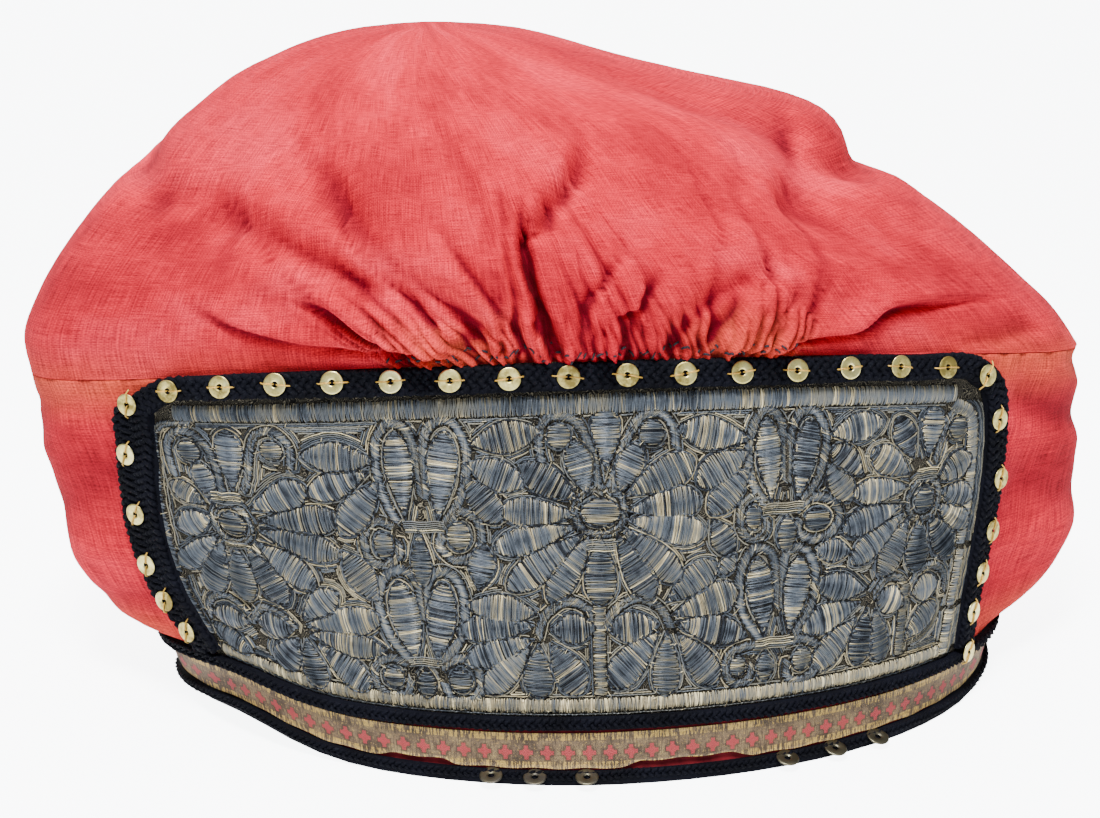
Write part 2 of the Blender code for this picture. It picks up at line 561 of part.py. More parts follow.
def main():
    clear_scene()
    cap = bpy.data.collections.new("embroidered_headdress")
    cutters = bpy.data.collections.new("relief")
    for collection in (cap, cutters):
        bpy.context.scene.collection.children.link(collection)
    red = material("red cotton", (0.62, 0.09, 0.09), 0.85)
    dark_red = material("dark red lining", (0.20, 0.02, 0.03), 0.85)
    silver = material("silver thread embroidery", (0.20, 0.21, 0.22), 0.5, 0.6)
    navy = material("navy braid", (0.010, 0.013, 0.030), 0.8)
    gold = material("gold ribbon", (0.30, 0.20, 0.10), 0.55, 0.4)
    brass = material("brass", (0.60, 0.48, 0.22), 0.35, 1.0)
    crown(cap, red)
    side_band(cap, red)
    front_panel(cap, cutters, silver)
    frame_braid(cap, navy)
    hoop("base_braid", cap, navy, BASE_BRAID, chamfer=0.5)
    hoop("ribbon", cap, gold, RIBBON)
    hoop("rim_braid", cap, navy, RIM_BRAID, stand=True)
    hoop("rim_lining", cap, dark_red, LINING, inside=-LINING["thickness"])
    sequins(cap, brass)


main()
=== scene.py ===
# %% [markdown]
# # A cap with an embroidered front
#
# The cap is a soft red cotton bag gathered on to a stiff front that is covered in metal-thread
# embroidery. The solids of the part are loaded first, and every piece made below is fitted to them.

import math

import bpy
import numpy as np
from mathutils import Matrix, Vector
from mathutils.kdtree import KDTree


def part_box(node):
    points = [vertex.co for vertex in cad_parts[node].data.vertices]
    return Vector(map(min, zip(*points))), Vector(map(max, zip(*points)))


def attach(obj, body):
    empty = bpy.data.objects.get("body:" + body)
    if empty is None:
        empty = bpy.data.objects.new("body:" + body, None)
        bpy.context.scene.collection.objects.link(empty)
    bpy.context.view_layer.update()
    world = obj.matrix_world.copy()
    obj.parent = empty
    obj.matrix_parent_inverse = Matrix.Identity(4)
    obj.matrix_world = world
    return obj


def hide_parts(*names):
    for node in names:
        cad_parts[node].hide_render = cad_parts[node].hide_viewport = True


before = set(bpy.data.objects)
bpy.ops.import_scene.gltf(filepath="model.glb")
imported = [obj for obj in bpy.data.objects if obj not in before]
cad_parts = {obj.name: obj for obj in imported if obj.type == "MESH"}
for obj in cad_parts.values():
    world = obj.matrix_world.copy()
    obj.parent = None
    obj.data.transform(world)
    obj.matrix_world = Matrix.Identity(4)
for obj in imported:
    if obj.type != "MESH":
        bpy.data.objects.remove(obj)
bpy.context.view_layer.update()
MM = 0.001

# %% [markdown]
# ## The shape of the wall
#
# A cap's wall is cloth bent round two ovals, a smaller one at the rim and a larger one at the top.
# Every place on it has two measures in millimetres: how far along it lies from the middle of the front,
# and how far up from the rim. With these two the whole trim can be laid out flat, as it was sewn,
# and then bent round the head.

# %% Two ovals
RIM = dict(left=103.0, right=103.0, front=67.5, back=58.0, middle_y=8.0, left_power=1.86, right_power=2.06)
TOP = dict(left=139.0, right=132.6, front=60.8, back=70.4, middle_y=28.8, left_power=2.0, right_power=2.0)
SHIFT = np.array([2.9, -19.6])
WALL_SLANT = 96.5
PANEL_END_TOP, PANEL_END_RIM = 111.5, 98.0
ROUND = 2.0 * PANEL_END_TOP
BEARINGS = np.linspace(-np.pi, np.pi, 4001)


def walked_along(line):
    """How far along a line each of its places is."""
    return np.concatenate([[0.0], np.cumsum(np.hypot(*np.diff(line, axis=0).T))])


def places_at(at, walked, line):
    """Places on a line at the given lengths along it."""
    return np.stack([np.interp(at, walked, line[:, k]) for k in (0, 1)], axis=-1)


def oval(plan):
    """Places round an oval, and how far each is from the middle of the front."""
    side, ahead = np.sin(BEARINGS), np.cos(BEARINGS)
    power = 2.0 / np.where(side < 0, plan["left_power"], plan["right_power"])
    power = np.where(ahead > 0, power, 1.0)
    x = np.where(side < 0, plan["left"], plan["right"]) * np.sign(side) * np.abs(side) ** power
    y = np.where(ahead > 0, plan["front"], plan["back"]) * np.sign(ahead) * np.abs(ahead) ** power
    points = np.stack([x, plan["middle_y"] - y], axis=-1)
    walked = walked_along(points)
    return points, walked - np.interp(0.0, BEARINGS, walked)


RIM_OVAL, TOP_OVAL = oval(RIM), oval(TOP)
rim_round, top_round = (round(float(np.ptp(ring[1]))) for ring in (RIM_OVAL, TOP_OVAL))
print("rim is", rim_round, "mm round, top is", top_round, "mm round")


# %% [markdown]
# The wall leans out from the rim to the top. At the sides it has no stiffening, so it swells out over
# the rim. The left corner of the rim has lifted a little from the table.

# %% Places on the wall
SEAM_HEIGHT = 75.5
SWELL_FOOT, SWELL_LEFT, SWELL_MORE_RIGHT = 14.9, 15.0, 5.5
SWELL_STARTS, SWELL_FULL = 114.0, 142.0
LIFTED_AT, LIFTED_WIDTH, LIFTED_BY = -108.0, 24.0, 5.5


def smooth_step(low, high, value):
    t = np.clip((value - low) / (high - low), 0.0, 1.0)
    return t * t * (3.0 - 2.0 * t)


def place_on(ring, panel_end, along):
    """The place on an oval for a length along the wall, and the bearing there."""
    points, walked = ring
    at = np.interp(along, [-ROUND, -PANEL_END_TOP, PANEL_END_TOP, ROUND],
                   [walked[0], -panel_end, panel_end, walked[-1]])
    return places_at(at, walked, points), np.interp(at, walked, BEARINGS)


def top_height(bearing):
    ahead = np.cos(bearing)
    return SEAM_HEIGHT + np.where(ahead > 0, 15.8 * np.abs(ahead) ** 1.6, -2.5 * ahead**2)


def wall_face(along, up):
    """Places in millimetres on the wall's own face."""
    along = (along + ROUND) % (2 * ROUND) - ROUND
    share = up / WALL_SLANT
    low, _ = place_on(RIM_OVAL, PANEL_END_RIM, along)
    high, bearing = place_on(TOP_OVAL, PANEL_END_TOP, along)
    flat = low + (high - low) * share[..., None]
    above = np.clip((up - SWELL_FOOT) / (WALL_SLANT - SWELL_FOOT), 0.0, 1.0)
    swell = SWELL_LEFT + SWELL_MORE_RIGHT * (0.5 + 0.5 * np.sin(bearing))
    swell = swell * smooth_step(SWELL_STARTS, SWELL_FULL, np.abs(along)) * np.sin(np.pi * above**0.45)
    flat = flat + np.stack([np.sin(bearing), -np.cos(bearing)], axis=-1) * swell[..., None]
    lift = LIFTED_BY * np.exp(-(((along - LIFTED_AT) / LIFTED_WIDTH) ** 2))
    height = top_height(bearing) * share + lift * (1 - np.clip(share, 0.0, 1.0))
    return np.concatenate([flat + SHIFT, height[..., None]], axis=-1)


def wall(along, up, out=0.0):
    """Places in millimetres, a distance out from the wall's face."""
    along, up, out = np.broadcast_arrays(*(np.asarray(value, float) for value in (along, up, out)))
    sideways = wall_face(along + 0.3, up) - wall_face(along - 0.3, up)
    upwards = wall_face(along, up + 0.3) - wall_face(along, up - 0.3)
    normal = np.cross(sideways, upwards)
    normal = normal / np.linalg.norm(normal, axis=-1, keepdims=True)
    return wall_face(along, up) + normal * out[..., None]


panel_low = np.array(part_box("front_panel")[0]) / MM
print("middle of the panel's foot", wall(0.0, 15.2).round(1), "solid starts at", panel_low.round(1))

# %% [markdown]
# ## The crown
#
# The crown is one large piece of thin cotton. Its edge is drawn up on a thread between two places of
# the front, which throws folds outwards and up. Without the folds it is a stack of ovals that shrink
# and shift towards the top, so that the bag leans back.

# %% The crown without folds
PEAK = (-37.0, 44.0, 158.5)
CROWN_SECTIONS = np.array([
    # rise, height, left, right, front, back, middle x, middle y
    (0.00, 75.5, 139.0, 132.6, 60.8, 70.4, 0.0, 28.8),
    (0.08, 84.6, 138.2, 127.6, 62.0, 71.2, -1.6, 29.2),
    (0.20, 98.0, 129.0, 116.0, 63.0, 72.0, -5.0, 30.0),
    (0.40, 118.0, 106.4, 93.0, 60.0, 66.0, -12.0, 33.0),
    (0.60, 136.0, 79.0, 78.0, 49.0, 54.0, -20.0, 37.0),
    (0.80, 150.0, 47.6, 41.4, 31.0, 37.0, -30.0, 41.0),
    (0.92, 156.5, 22.0, 21.0, 15.0, 19.0, -35.0, 43.0),
    (1.00, 158.5, 0.0, 0.0, 0.0, 0.0, -37.0, 44.0),
])


def through(knots, values, at):
    """A smooth curve through the values at the knots."""
    slopes = np.gradient(values, knots)
    at = np.clip(at, knots[0], knots[-1])
    i = np.clip(np.searchsorted(knots, at, side="right") - 1, 0, len(knots) - 2)
    width = knots[i + 1] - knots[i]
    t = (at - knots[i]) / width
    start = values[i] * (1 + 2 * t) * (1 - t) ** 2 + slopes[i] * width * t * (1 - t) ** 2
    end = values[i + 1] * t**2 * (3 - 2 * t) + slopes[i + 1] * width * t**2 * (t - 1)
    return start + end


def crown_plain(along, rise):
    """Places on the crown without folds; rise goes from 0 at the seam to 1 at the peak."""
    height, left, right, front, back, middle_x, middle_y = (
        through(CROWN_SECTIONS[:, 0], CROWN_SECTIONS[:, k], rise) for k in range(1, 8)
    )
    _, bearing = place_on(TOP_OVAL, PANEL_END_TOP, (along + ROUND) % (2 * ROUND) - ROUND)
    side, ahead = np.sin(bearing), np.cos(bearing)
    x = np.where(side < 0, left, right) * side + middle_x + SHIFT[0]
    y = middle_y - np.where(ahead > 0, front, back) * ahead + SHIFT[1]
    height = height + (top_height(bearing) - SEAM_HEIGHT) * (1 - rise) ** 2
    return np.stack([x, y, height], axis=-1)


front_edge = crown_plain(np.array(0.0), np.array(0.0))
print("the crown's front edge stands", round(float(front_edge[2]), 1), "mm up")

# %% [markdown]
# The larger folds keep to the lines in which this cloth has been creased for years. Each has a height,
# a width on either side, and the depth of the groove beside its steeper flank, where the cloth lies over
# itself.

# %% Folds of the crown
FOLDS = (
    # height, width on its left, width on its right, groove, then its places: along and rise
    (2.6, 5.0, 6.0, 0.0,
     ((-36.5, 0.116), (-45, 0.216), (-61, 0.32), (-76.5, 0.384), (-87.5, 0.424), (-112, 0.50))),
    (-3.4, 5.0, 3.6, 0.0,
     ((-39.5, 0.12), (-45.5, 0.18), (-65, 0.284), (-85, 0.372), (-104.5, 0.432), (-124, 0.48))),
    (-3.4, 5.5, 3.6, 0.0,
     ((-29, 0.108), (-35, 0.18), (-46, 0.252), (-63.5, 0.44), (-75, 0.528), (-99, 0.632))),
    (1.5, 5.0, 5.0, 0.0, ((-24, 0.14), (-33, 0.26), (-43, 0.40), (-55, 0.54), (-72, 0.68))),
    (1.9, 0.9, 4.2, 1.3, ((-41, 0.052), (-50.5, 0.088), (-62, 0.172), (-73, 0.205))),
    (1.7, 1.0, 4.6, 1.2, ((-41, 0.044), (-55, 0.06), (-68.5, 0.084), (-83.5, 0.132), (-97, 0.20))),
    (-1.3, 2.0, 2.0, 0.0, ((-42, 0.026), (-54.5, 0.044), (-72, 0.056))),
    (1.7, 4.0, 4.0, 0.0, ((-39, 0.068), (-54, 0.172), (-71.5, 0.248), (-90, 0.288))),
    (-2.6, 5.0, 4.0, 0.0, ((-134, 0.50), (-126, 0.48), (-120.5, 0.448), (-116.5, 0.38))),
    (-1.8, 9.0, 9.0, 0.0, ((-108, 0.36), (-97.5, 0.336), (-88, 0.348))),
    (-1.2, 3.0, 2.4, 0.0, ((-20.5, 0.104), (-19.5, 0.312), (-21, 0.44), (-25.5, 0.584), (-38, 0.756))),
    (-0.9, 5.0, 3.6, 0.0, ((-26.5, 0.168), (-31.5, 0.312), (-38.5, 0.444), (-46.5, 0.568), (-57, 0.70))),
    (1.5, 4.2, 0.8, 1.0, ((-24.5, 0.052), (-24.5, 0.128), (-28, 0.212), (-31, 0.272), (-37, 0.39))),
    (1.2, 2.8, 0.7, 1.0, ((-20.5, 0.04), (-21, 0.092), (-19.5, 0.164), (-19, 0.284), (-18, 0.376))),
    (-1.3, 1.4, 1.4, 0.0, ((-15.4, 0.37), (-14.5, 0.424), (-13.2, 0.48))),
    (1.5, 2.6, 0.8, 1.7, ((-14, 0.032), (-16, 0.10), (-14.5, 0.16), (-15.5, 0.252), (-14.2, 0.36))),
    (2.9, 0.9, 8.5, 2.0,
     ((-9, 0.036), (-10.5, 0.12), (-11, 0.208), (-10, 0.268), (-9.5, 0.34), (-6.5, 0.41), (-1, 0.45))),
    (2.5, 7.0, 1.7, 2.3, ((-8, 0.38), (-3.5, 0.436), (1, 0.46), (8, 0.50), (16.5, 0.56), (27, 0.65))),
    (-1.8, 1.4, 1.2, 0.0, ((-9.5, 0.064), (-10.5, 0.104), (-12.4, 0.14), (-12, 0.17))),
    (-0.8, 1.5, 1.5, 0.0, ((-5, 0.048), (-5, 0.092), (-3, 0.148), (0, 0.20), (2.5, 0.256))),
    (1.6, 0.8, 4.0, 0.9,
     ((-1.5, 0.028), (-2.3, 0.09), (0.5, 0.16), (5, 0.196), (10.5, 0.248), (16, 0.285), (18, 0.33))),
    (1.7, 4.0, 0.8, 1.2,
     ((1.5, 0.04), (3.5, 0.096), (4, 0.132), (9.5, 0.152), (12, 0.18), (16, 0.22), (22, 0.27))),
    (1.9, 5.0, 6.0, 0.0,
     ((11, 0.052), (17, 0.128), (31.5, 0.20), (51, 0.304), (66.5, 0.368), (86.5, 0.456), (103, 0.51))),
    (-2.4, 3.0, 2.2, 0.0, ((15, 0.028), (18.5, 0.084), (29.5, 0.16), (45, 0.224), (64, 0.26))),
    (2.3, 3.0, 6.0, 0.0,
     ((24.5, 0.032), (34.5, 0.116), (44, 0.184), (53, 0.22), (83, 0.236), (110, 0.244))),
    (-2.6, 2.4, 2.0, 0.0, ((22, 0.028), (26.5, 0.068), (35, 0.14), (46, 0.204), (62, 0.25))),
    (2.4, 5.0, 0.9, 1.9,
     ((35, 0.014), (48, 0.056), (62, 0.072), (73, 0.124), (82.5, 0.144), (98.5, 0.152), (124, 0.152))),
    (1.2, 2.0, 0.8, 1.0, ((37, 0.012), (44.5, 0.028), (51, 0.012))),
    (-1.4, 4.0, 2.0, 0.0, ((93.5, 0.004), (104, 0.032), (113, 0.056), (121, 0.07))),
    (-2.4, 8.0, 8.0, 0.0, ((104, 0.67), (112, 0.596), (117, 0.56))),
    (-2.6, 8.0, 8.0, 0.0, ((112, 0.54), (95, 0.448), (72.5, 0.312))),
    (-1.8, 3.6, 5.0, 0.0, ((64, 0.35), (85.5, 0.42), (102, 0.48))),
    (1.3, 5.0, 5.0, 0.0, ((99, 0.38), (121, 0.408), (140, 0.38))),
    (2.8, 10.0, 10.0, 0.0, ((120, 0.57), (150, 0.57), (190, 0.54))),
    (1.8, 11.0, 11.0, 0.0, ((118, 0.34), (140, 0.34), (180, 0.34))),
    (-2.9, 5.0, 5.0, 0.0, ((120, 0.47), (136, 0.48), (165, 0.47))),
    (-2.2, 9.0, 7.0, 0.0, ((158, 0.04), (166, 0.22), (172, 0.46))),
    (2.0, 9.0, 8.0, 0.0, ((186, 0.03), (190, 0.24), (196, 0.52))),
    (-2.0, 8.0, 8.0, 0.0, ((208, 0.03), (206, 0.24), (204, 0.50))),
    (2.0, 9.0, 9.0, 0.0, ((-204, 0.03), (-198, 0.26), (-196, 0.50))),
    (-2.2, 8.0, 9.0, 0.0, ((-182, 0.03), (-178, 0.24), (-176, 0.48))),
    (1.8, 9.0, 8.0, 0.0, ((-160, 0.06), (-154, 0.26), (-150, 0.50))),
)
RISE_LENGTH, FOLD_SHARE = 105.0, 1.2


def bend_through(places, count=41):
    """A smooth line through a few places, as even steps."""
    places = np.array(places, float)
    t = np.linspace(0.0, 1.0, count)
    if len(places) > 2:
        share = np.linspace(0.0, 1.0, len(places))
        return np.stack([through(share, places[:, k], t) for k in (0, 1)], axis=-1)
    return places[0] * (1 - t[:, None]) + places[-1] * t[:, None]


def fold_height(along, rise):
    """Height of the cloth above the plain crown from all the folds together."""
    total = np.zeros(along.shape)
    for height, left_width, right_width, groove, places in FOLDS:
        line = bend_through(places)
        ahead = np.gradient(line, axis=0) * (1.0, RISE_LENGTH)
        widest = 3.0 * max(left_width, right_width) + 2.0
        near = np.abs(along - np.clip(along, line[:, 0].min() - widest, line[:, 0].max() + widest)) == 0
        a, r = along[near], rise[near]
        narrowing = 1.0 - 0.6 * r
        gap_along = (a[:, None] - line[:, 0]) * narrowing[:, None]
        gap_rise = (r[:, None] - line[:, 1]) * RISE_LENGTH
        nearest = np.argmin(gap_along**2 + gap_rise**2, axis=1)
        index = np.arange(len(a))
        gap_along, gap_rise = gap_along[index, nearest], gap_rise[index, nearest]
        step = np.hypot(*ahead.T)
        back = (gap_along * ahead[nearest, 0] + gap_rise * ahead[nearest, 1]) / step[nearest] ** 2
        back = np.clip(back, -0.6, 0.6)
        gap_along, gap_rise = gap_along - back * ahead[nearest, 0], gap_rise - back * ahead[nearest, 1]
        distance = np.hypot(gap_along, gap_rise)
        is_left = ahead[nearest, 0] * gap_rise - ahead[nearest, 1] * gap_along > 0
        width = np.where(is_left, left_width, right_width)
        fold = height * np.exp(-((distance / width) ** 2))
        if groove:
            narrow = min(left_width, right_width)
            steep = is_left == (left_width < right_width)
            fold -= steep * groove * np.exp(-(((distance - 2.0 * narrow) / (1.2 * narrow)) ** 2))
        ending = 1.0 - smooth_step(0.66, 1.0, nearest / (len(line) - 1.0))
        total[near] += fold * ending
    return total


# %% [markdown]
# Between the places where the thread draws the edge up, the cloth stands in uneven pleats. Small, large
# and long ones lie over one another, tight at the seam and leaning outwards. The lowest of the cloth is
# hidden behind the braid. Above it the small pleats soon run out, and some long ones reach far up.

# %% Gathers at the seam
GATHERED, BEHIND_BRAID = (-47.0, 41.0), 0.068
GROOVE_SHADE_WIDTH = 0.30
luck = np.random.default_rng(11)


def pleat_row(shortest, longest):
    places = [GATHERED[0] - 8.0]
    while places[-1] < GATHERED[1] + 8.0:
        places.append(places[-1] + luck.uniform(shortest, longest))
    return np.array(places)


def pleats(shortest, longest, reach, size, wave, bends, dark):
    """A row of pleats: places, reach up the crown, height, how the row winds, how dark the painted shade in
    its grooves is.
    """
    row = pleat_row(shortest, longest)
    return row, luck.uniform(*reach, len(row)), luck.uniform(*size, len(row)), wave, bends, dark


# The last number of a row is how strong the painted shade in its grooves is.
SMALL_PLEATS = pleats(1.9, 2.9, (0.05, 0.13), (1.3, 2.3), 0.35, 60.0, 1.0)
LARGE_PLEATS = pleats(3.8, 7.0, (0.11, 0.30), (0.9, 2.1), 0.8, 34.0, 0.75)
LONG_PLEATS = pleats(6.5, 11.0, (0.28, 0.62), (1.1, 2.3), 1.5, 13.0, 0.45)


def gather_height(along, rise):
    """How far the gathers lift the cloth, and how much painted shade each place gets from a groove between
    two pleats.
    """
    leaning = 2.6 * smooth_step(12.0, 38.0, np.abs(along)) * rise
    foot = along / (1.0 + leaning)
    before = smooth_step(GATHERED[0] - 5, GATHERED[0] + 2, foot)
    inside = before * (1 - smooth_step(GATHERED[1] - 2, GATHERED[1] + 5, foot))
    total, groove = np.zeros(along.shape), np.zeros(along.shape)
    for places, reach, size, wave, bends, dark in (SMALL_PLEATS, LARGE_PLEATS, LONG_PLEATS):
        waved = foot + wave * np.sin(rise * bends + foot * 0.5)
        number = np.interp(waved, places, np.arange(len(places)))
        share = number - np.floor(number)
        off_ridge = np.abs(2.0 * share - 1.0)
        pleat = 1.0 - off_ridge**1.7 - 0.45
        middle = np.clip(np.floor(number).astype(int), 0, len(places) - 1)
        fade = np.clip(1.0 - np.maximum(rise - BEHIND_BRAID, 0.0) / reach[middle], 0.0, 1.0) ** 0.8
        total += size[middle] * pleat * fade
        # Painted shade in the grooves between pleats, strongest for the small pleats and fading with them
        # up the crown.
        groove = np.maximum(groove, dark * np.exp(-(((1.0 - off_ridge) / GROOVE_SHADE_WIDTH) ** 2)) * fade)
    return total * inside, groove * inside


print("small, large and long pleats:", *[len(row[0]) for row in (SMALL_PLEATS, LARGE_PLEATS, LONG_PLEATS)])

# %% [markdown]
# ## Making a piece of cloth
#
# A piece of cloth is an outer and an inner face with a narrow edge between them. Both faces come from the
# same grid of places, so the cloth is the same thickness everywhere and closed all round.

# %% Closed cloth
def new_object(name, points, faces, finish=None, edges=(), maps=None, marks=None):
    """A mesh object from millimetre places, with an optional flat map and numbers at its points."""
    mesh = bpy.data.meshes.new(name)
    mesh.from_pydata((np.asarray(points, float) * MM).tolist(), list(edges),
                     [tuple(face) for face in faces])
    if maps is not None:
        layer = mesh.uv_layers.new(name="flat")
        corner = np.empty(len(mesh.loops), np.int32)
        mesh.loops.foreach_get("vertex_index", corner)
        flat = np.asarray(maps, np.float32)[corner]
        sizes = np.array([len(face) for face in faces])
        first = np.repeat(flat[np.cumsum(sizes) - sizes, 0], sizes)
        flat[:, 0] += 2 * ROUND * np.round((first - flat[:, 0]) / (2 * ROUND))
        layer.data.foreach_set("uv", flat.ravel())
    for label, values in (marks or {}).items():
        made = mesh.attributes.new(label, "FLOAT", "POINT")
        made.data.foreach_set("value", np.asarray(values, np.float32))
    if len(faces):
        mesh.polygons.foreach_set("use_smooth", np.ones(len(mesh.polygons), bool))
    if finish:
        mesh.materials.append(finish)
    obj = bpy.data.objects.new(name, mesh)
    bpy.context.scene.collection.objects.link(obj)
    return obj


def grid_faces(rows, columns, start=0, ring=False, turned=False):
    """Four-cornered faces between the rows and columns of a grid of points."""
    i, j = np.meshgrid(np.arange(rows - 1), np.arange(columns if ring else columns - 1), indexing="ij")
    after = (j + 1) % columns
    corners = [i * columns + j, i * columns + after, (i + 1) * columns + after, (i + 1) * columns + j]
    faces = np.stack([corner.ravel() for corner in corners], axis=-1) + start
    return faces[:, ::-1] if turned else faces


def edge_faces(one, two):
    """Narrow faces between two rows of points that run side by side."""
    one, two = np.asarray(one), np.asarray(two)
    return np.stack([one[:-1], two[:-1], two[1:], one[1:]], axis=-1)


def closed_sheet(name, outer, inner, maps, finish, marks):
    """Cloth whose outer and inner face are joined all round."""
    rows, columns = outer.shape[:2]
    count = rows * columns
    order = np.arange(count).reshape(rows, columns)
    rim = np.concatenate([order[0], order[1:, -1], order[-1, -2::-1], order[-2::-1, 0]])
    faces = grid_faces(rows, columns).tolist() + grid_faces(rows, columns, count, turned=True).tolist()
    faces += edge_faces(rim, rim + count).tolist()
    points = np.concatenate([outer, inner]).reshape(-1, 3)
    both = np.tile(np.stack(maps, axis=-1).reshape(-1, 2), (2, 1))
    return new_object(name, points, faces, finish, maps=both, marks=marks)


def plane_normals(face, along, up, step):
    sideways = face(along + step[0], up) - face(along - step[0], up)
    upwards = face(along, np.clip(up + step[1], 0, 0.995)) - face(along, np.clip(up - step[1], 0, 1))
    normal = np.cross(sideways, upwards)
    return normal / np.maximum(np.linalg.norm(normal, axis=-1, keepdims=True), 1e-9)


print("cloth from grids, for example", len(grid_faces(3, 4)), "faces of a small one")

# %% [markdown]
# ## Finishes
#
# The cotton is a plain weave, so it shows threads both ways, thicker ones here and there, and a red that
# has faded unevenly. It is darker down in the folds, partly because light and washing reached it less and
# partly as painted shade.

# %% Small helpers for shader nodes
def shader_tree(name, inputs, outputs):
    """A tree for finishes with named inputs and outputs, and the nodes it begins and ends with."""
    tree = bpy.data.node_groups.new(name, "ShaderNodeTree")
    for label, kind, start in inputs:
        socket = tree.interface.new_socket(label, in_out="INPUT", socket_type=kind)
        socket.default_value = start
    for label, kind in outputs:
        tree.interface.new_socket(label, in_out="OUTPUT", socket_type=kind)
    return tree, tree.nodes.new("NodeGroupInput"), tree.nodes.new("NodeGroupOutput")


def feed(tree, node, links):
    """Sets each named or numbered input to a value, or joins it to another node's output."""
    for label, value in links.items():
        numbered = label[0] == "n" and label[1:].isdigit()
        socket = node.inputs[int(label[1:]) if numbered else label.replace("_", " ")]
        if isinstance(value, bpy.types.NodeSocket):
            tree.links.new(value, socket)
        else:
            socket.default_value = value
    return node


def add(tree, kind, settings=None, **links):
    """A node with its settings and what feeds it."""
    node = tree.nodes.new(kind)
    for label, value in (settings or {}).items():
        setattr(node, label, value)
    return feed(tree, node, links)


def reckon(tree, operation, one, two=0.0, clamp=False):
    """The outcome of one sum inside a tree."""
    settings = dict(operation=operation, use_clamp=clamp)
    return add(tree, "ShaderNodeMath", settings, n0=one, n1=two).outputs[0]


def times(tree, one, two, clamp=False):
    return reckon(tree, "MULTIPLY", one, two, clamp)


def scaled(tree, value, factor, plus=0.5):
    """A value times a factor, and a start added to it."""
    settings = dict(operation="MULTIPLY_ADD")
    return add(tree, "ShaderNodeMath", settings, n0=value, n1=factor, n2=plus).outputs[0]


def noise(tree, place, scale, detail, rough=0.5):
    links = dict(Vector=place, Scale=scale, Detail=detail, Roughness=rough)
    return add(tree, "ShaderNodeTexNoise", **links).outputs[0]


def marked(tree, label, output="Fac"):
    """What was noted at the places of a mesh under this label."""
    return add(tree, "ShaderNodeAttribute", dict(attribute_name=label)).outputs[output]


def flat_place(tree):
    return add(tree, "ShaderNodeUVMap", dict(uv_map="flat")).outputs[0]


def solid_place(tree):
    return add(tree, "ShaderNodeTexCoord").outputs["Object"]


def emboss(tree, shader, strength, depth, height):
    """Lets the finish look raised by a height."""
    bump = add(tree, "ShaderNodeBump", Strength=strength, Distance=depth, Height=height)
    tree.links.new(bump.outputs[0], shader.inputs["Normal"])


def blend_colour(tree, share, one, two, way="MIX"):
    """The first colour, with a share of the second."""
    settings = dict(data_type="RGBA", blend_type=way)
    return add(tree, "ShaderNodeMix", settings, n0=share, n6=one, n7=two).outputs[2]


def ramp(tree, share, stops):
    """A colour that changes through the stops as the share grows."""
    node = add(tree, "ShaderNodeValToRGB", n0=share)
    for index, (place, colour) in enumerate(stops):
        stop = node.color_ramp.elements[index] if index < 2 else node.color_ramp.elements.new(place)
        stop.position, stop.color = place, colour
    return node.outputs[0]


def finish_of(name, **constants):
    """A material with its own shader, and the constants set on that shader."""
    made = bpy.data.materials.new(name)
    made.use_nodes = True
    shader = made.node_tree.nodes["Principled BSDF"]
    for label, value in constants.items():
        shader.inputs[label.replace("_", " ")].default_value = value
    return made, made.node_tree, shader


def use_group(tree, group, **links):
    node = tree.nodes.new("ShaderNodeGroup")
    node.node_tree = group
    return feed(tree, node, links)


def dress_solid(name, finish):
    """Puts a finish on a solid that stays in the picture."""
    bpy.data.objects[name].data.materials.clear()
    bpy.data.objects[name].data.materials.append(finish)


print("helpers for finishes are ready")



# %% The weave as a group
FLOAT, VECTOR = "NodeSocketFloat", "NodeSocketVector"
weave, begin, end = shader_tree(
    "plain weave",
    [("Flat Place", VECTOR, (0, 0, 0)), ("Threads per mm", FLOAT, 2.2), ("Slubs", FLOAT, 0.5)],
    [("Height", FLOAT), ("Shade", FLOAT)],
)
place = begin.outputs["Flat Place"]
wobble = add(weave, "ShaderNodeTexNoise", Vector=place, Scale=0.35, Detail=2.0)
bent = add(weave, "ShaderNodeVectorMath", dict(operation="MULTIPLY_ADD"),
           n0=wobble.outputs["Color"], n1=(1.4, 1.4, 0), n2=place)
split = add(weave, "ShaderNodeSeparateXYZ", n0=bent.outputs[0])
turns = times(weave, begin.outputs["Threads per mm"], math.pi)
over = reckon(weave, "SINE", times(weave, split.outputs[0], turns))
under = reckon(weave, "SINE", times(weave, split.outputs[1], turns))
crossing = times(weave, over, under)
streaks = []
for stretch in ((0.16, 3.2, 1.0), (3.0, 0.10, 1.0)):
    longer = add(weave, "ShaderNodeVectorMath", dict(operation="MULTIPLY"), n0=place, n1=stretch)
    streaks.append(noise(weave, longer.outputs[0], 1.0, 3.0, 0.65))
thicker = reckon(weave, "SUBTRACT", reckon(weave, "ADD", *streaks), 1.0)
slubs = times(weave, thicker, begin.outputs["Slubs"])
for label, share in (("Height", 0.22), ("Shade", 0.10)):
    weave.links.new(reckon(weave, "ADD", times(weave, crossing, share), slubs), end.inputs[label])
print(weave.name, "has", len(weave.nodes), "nodes")
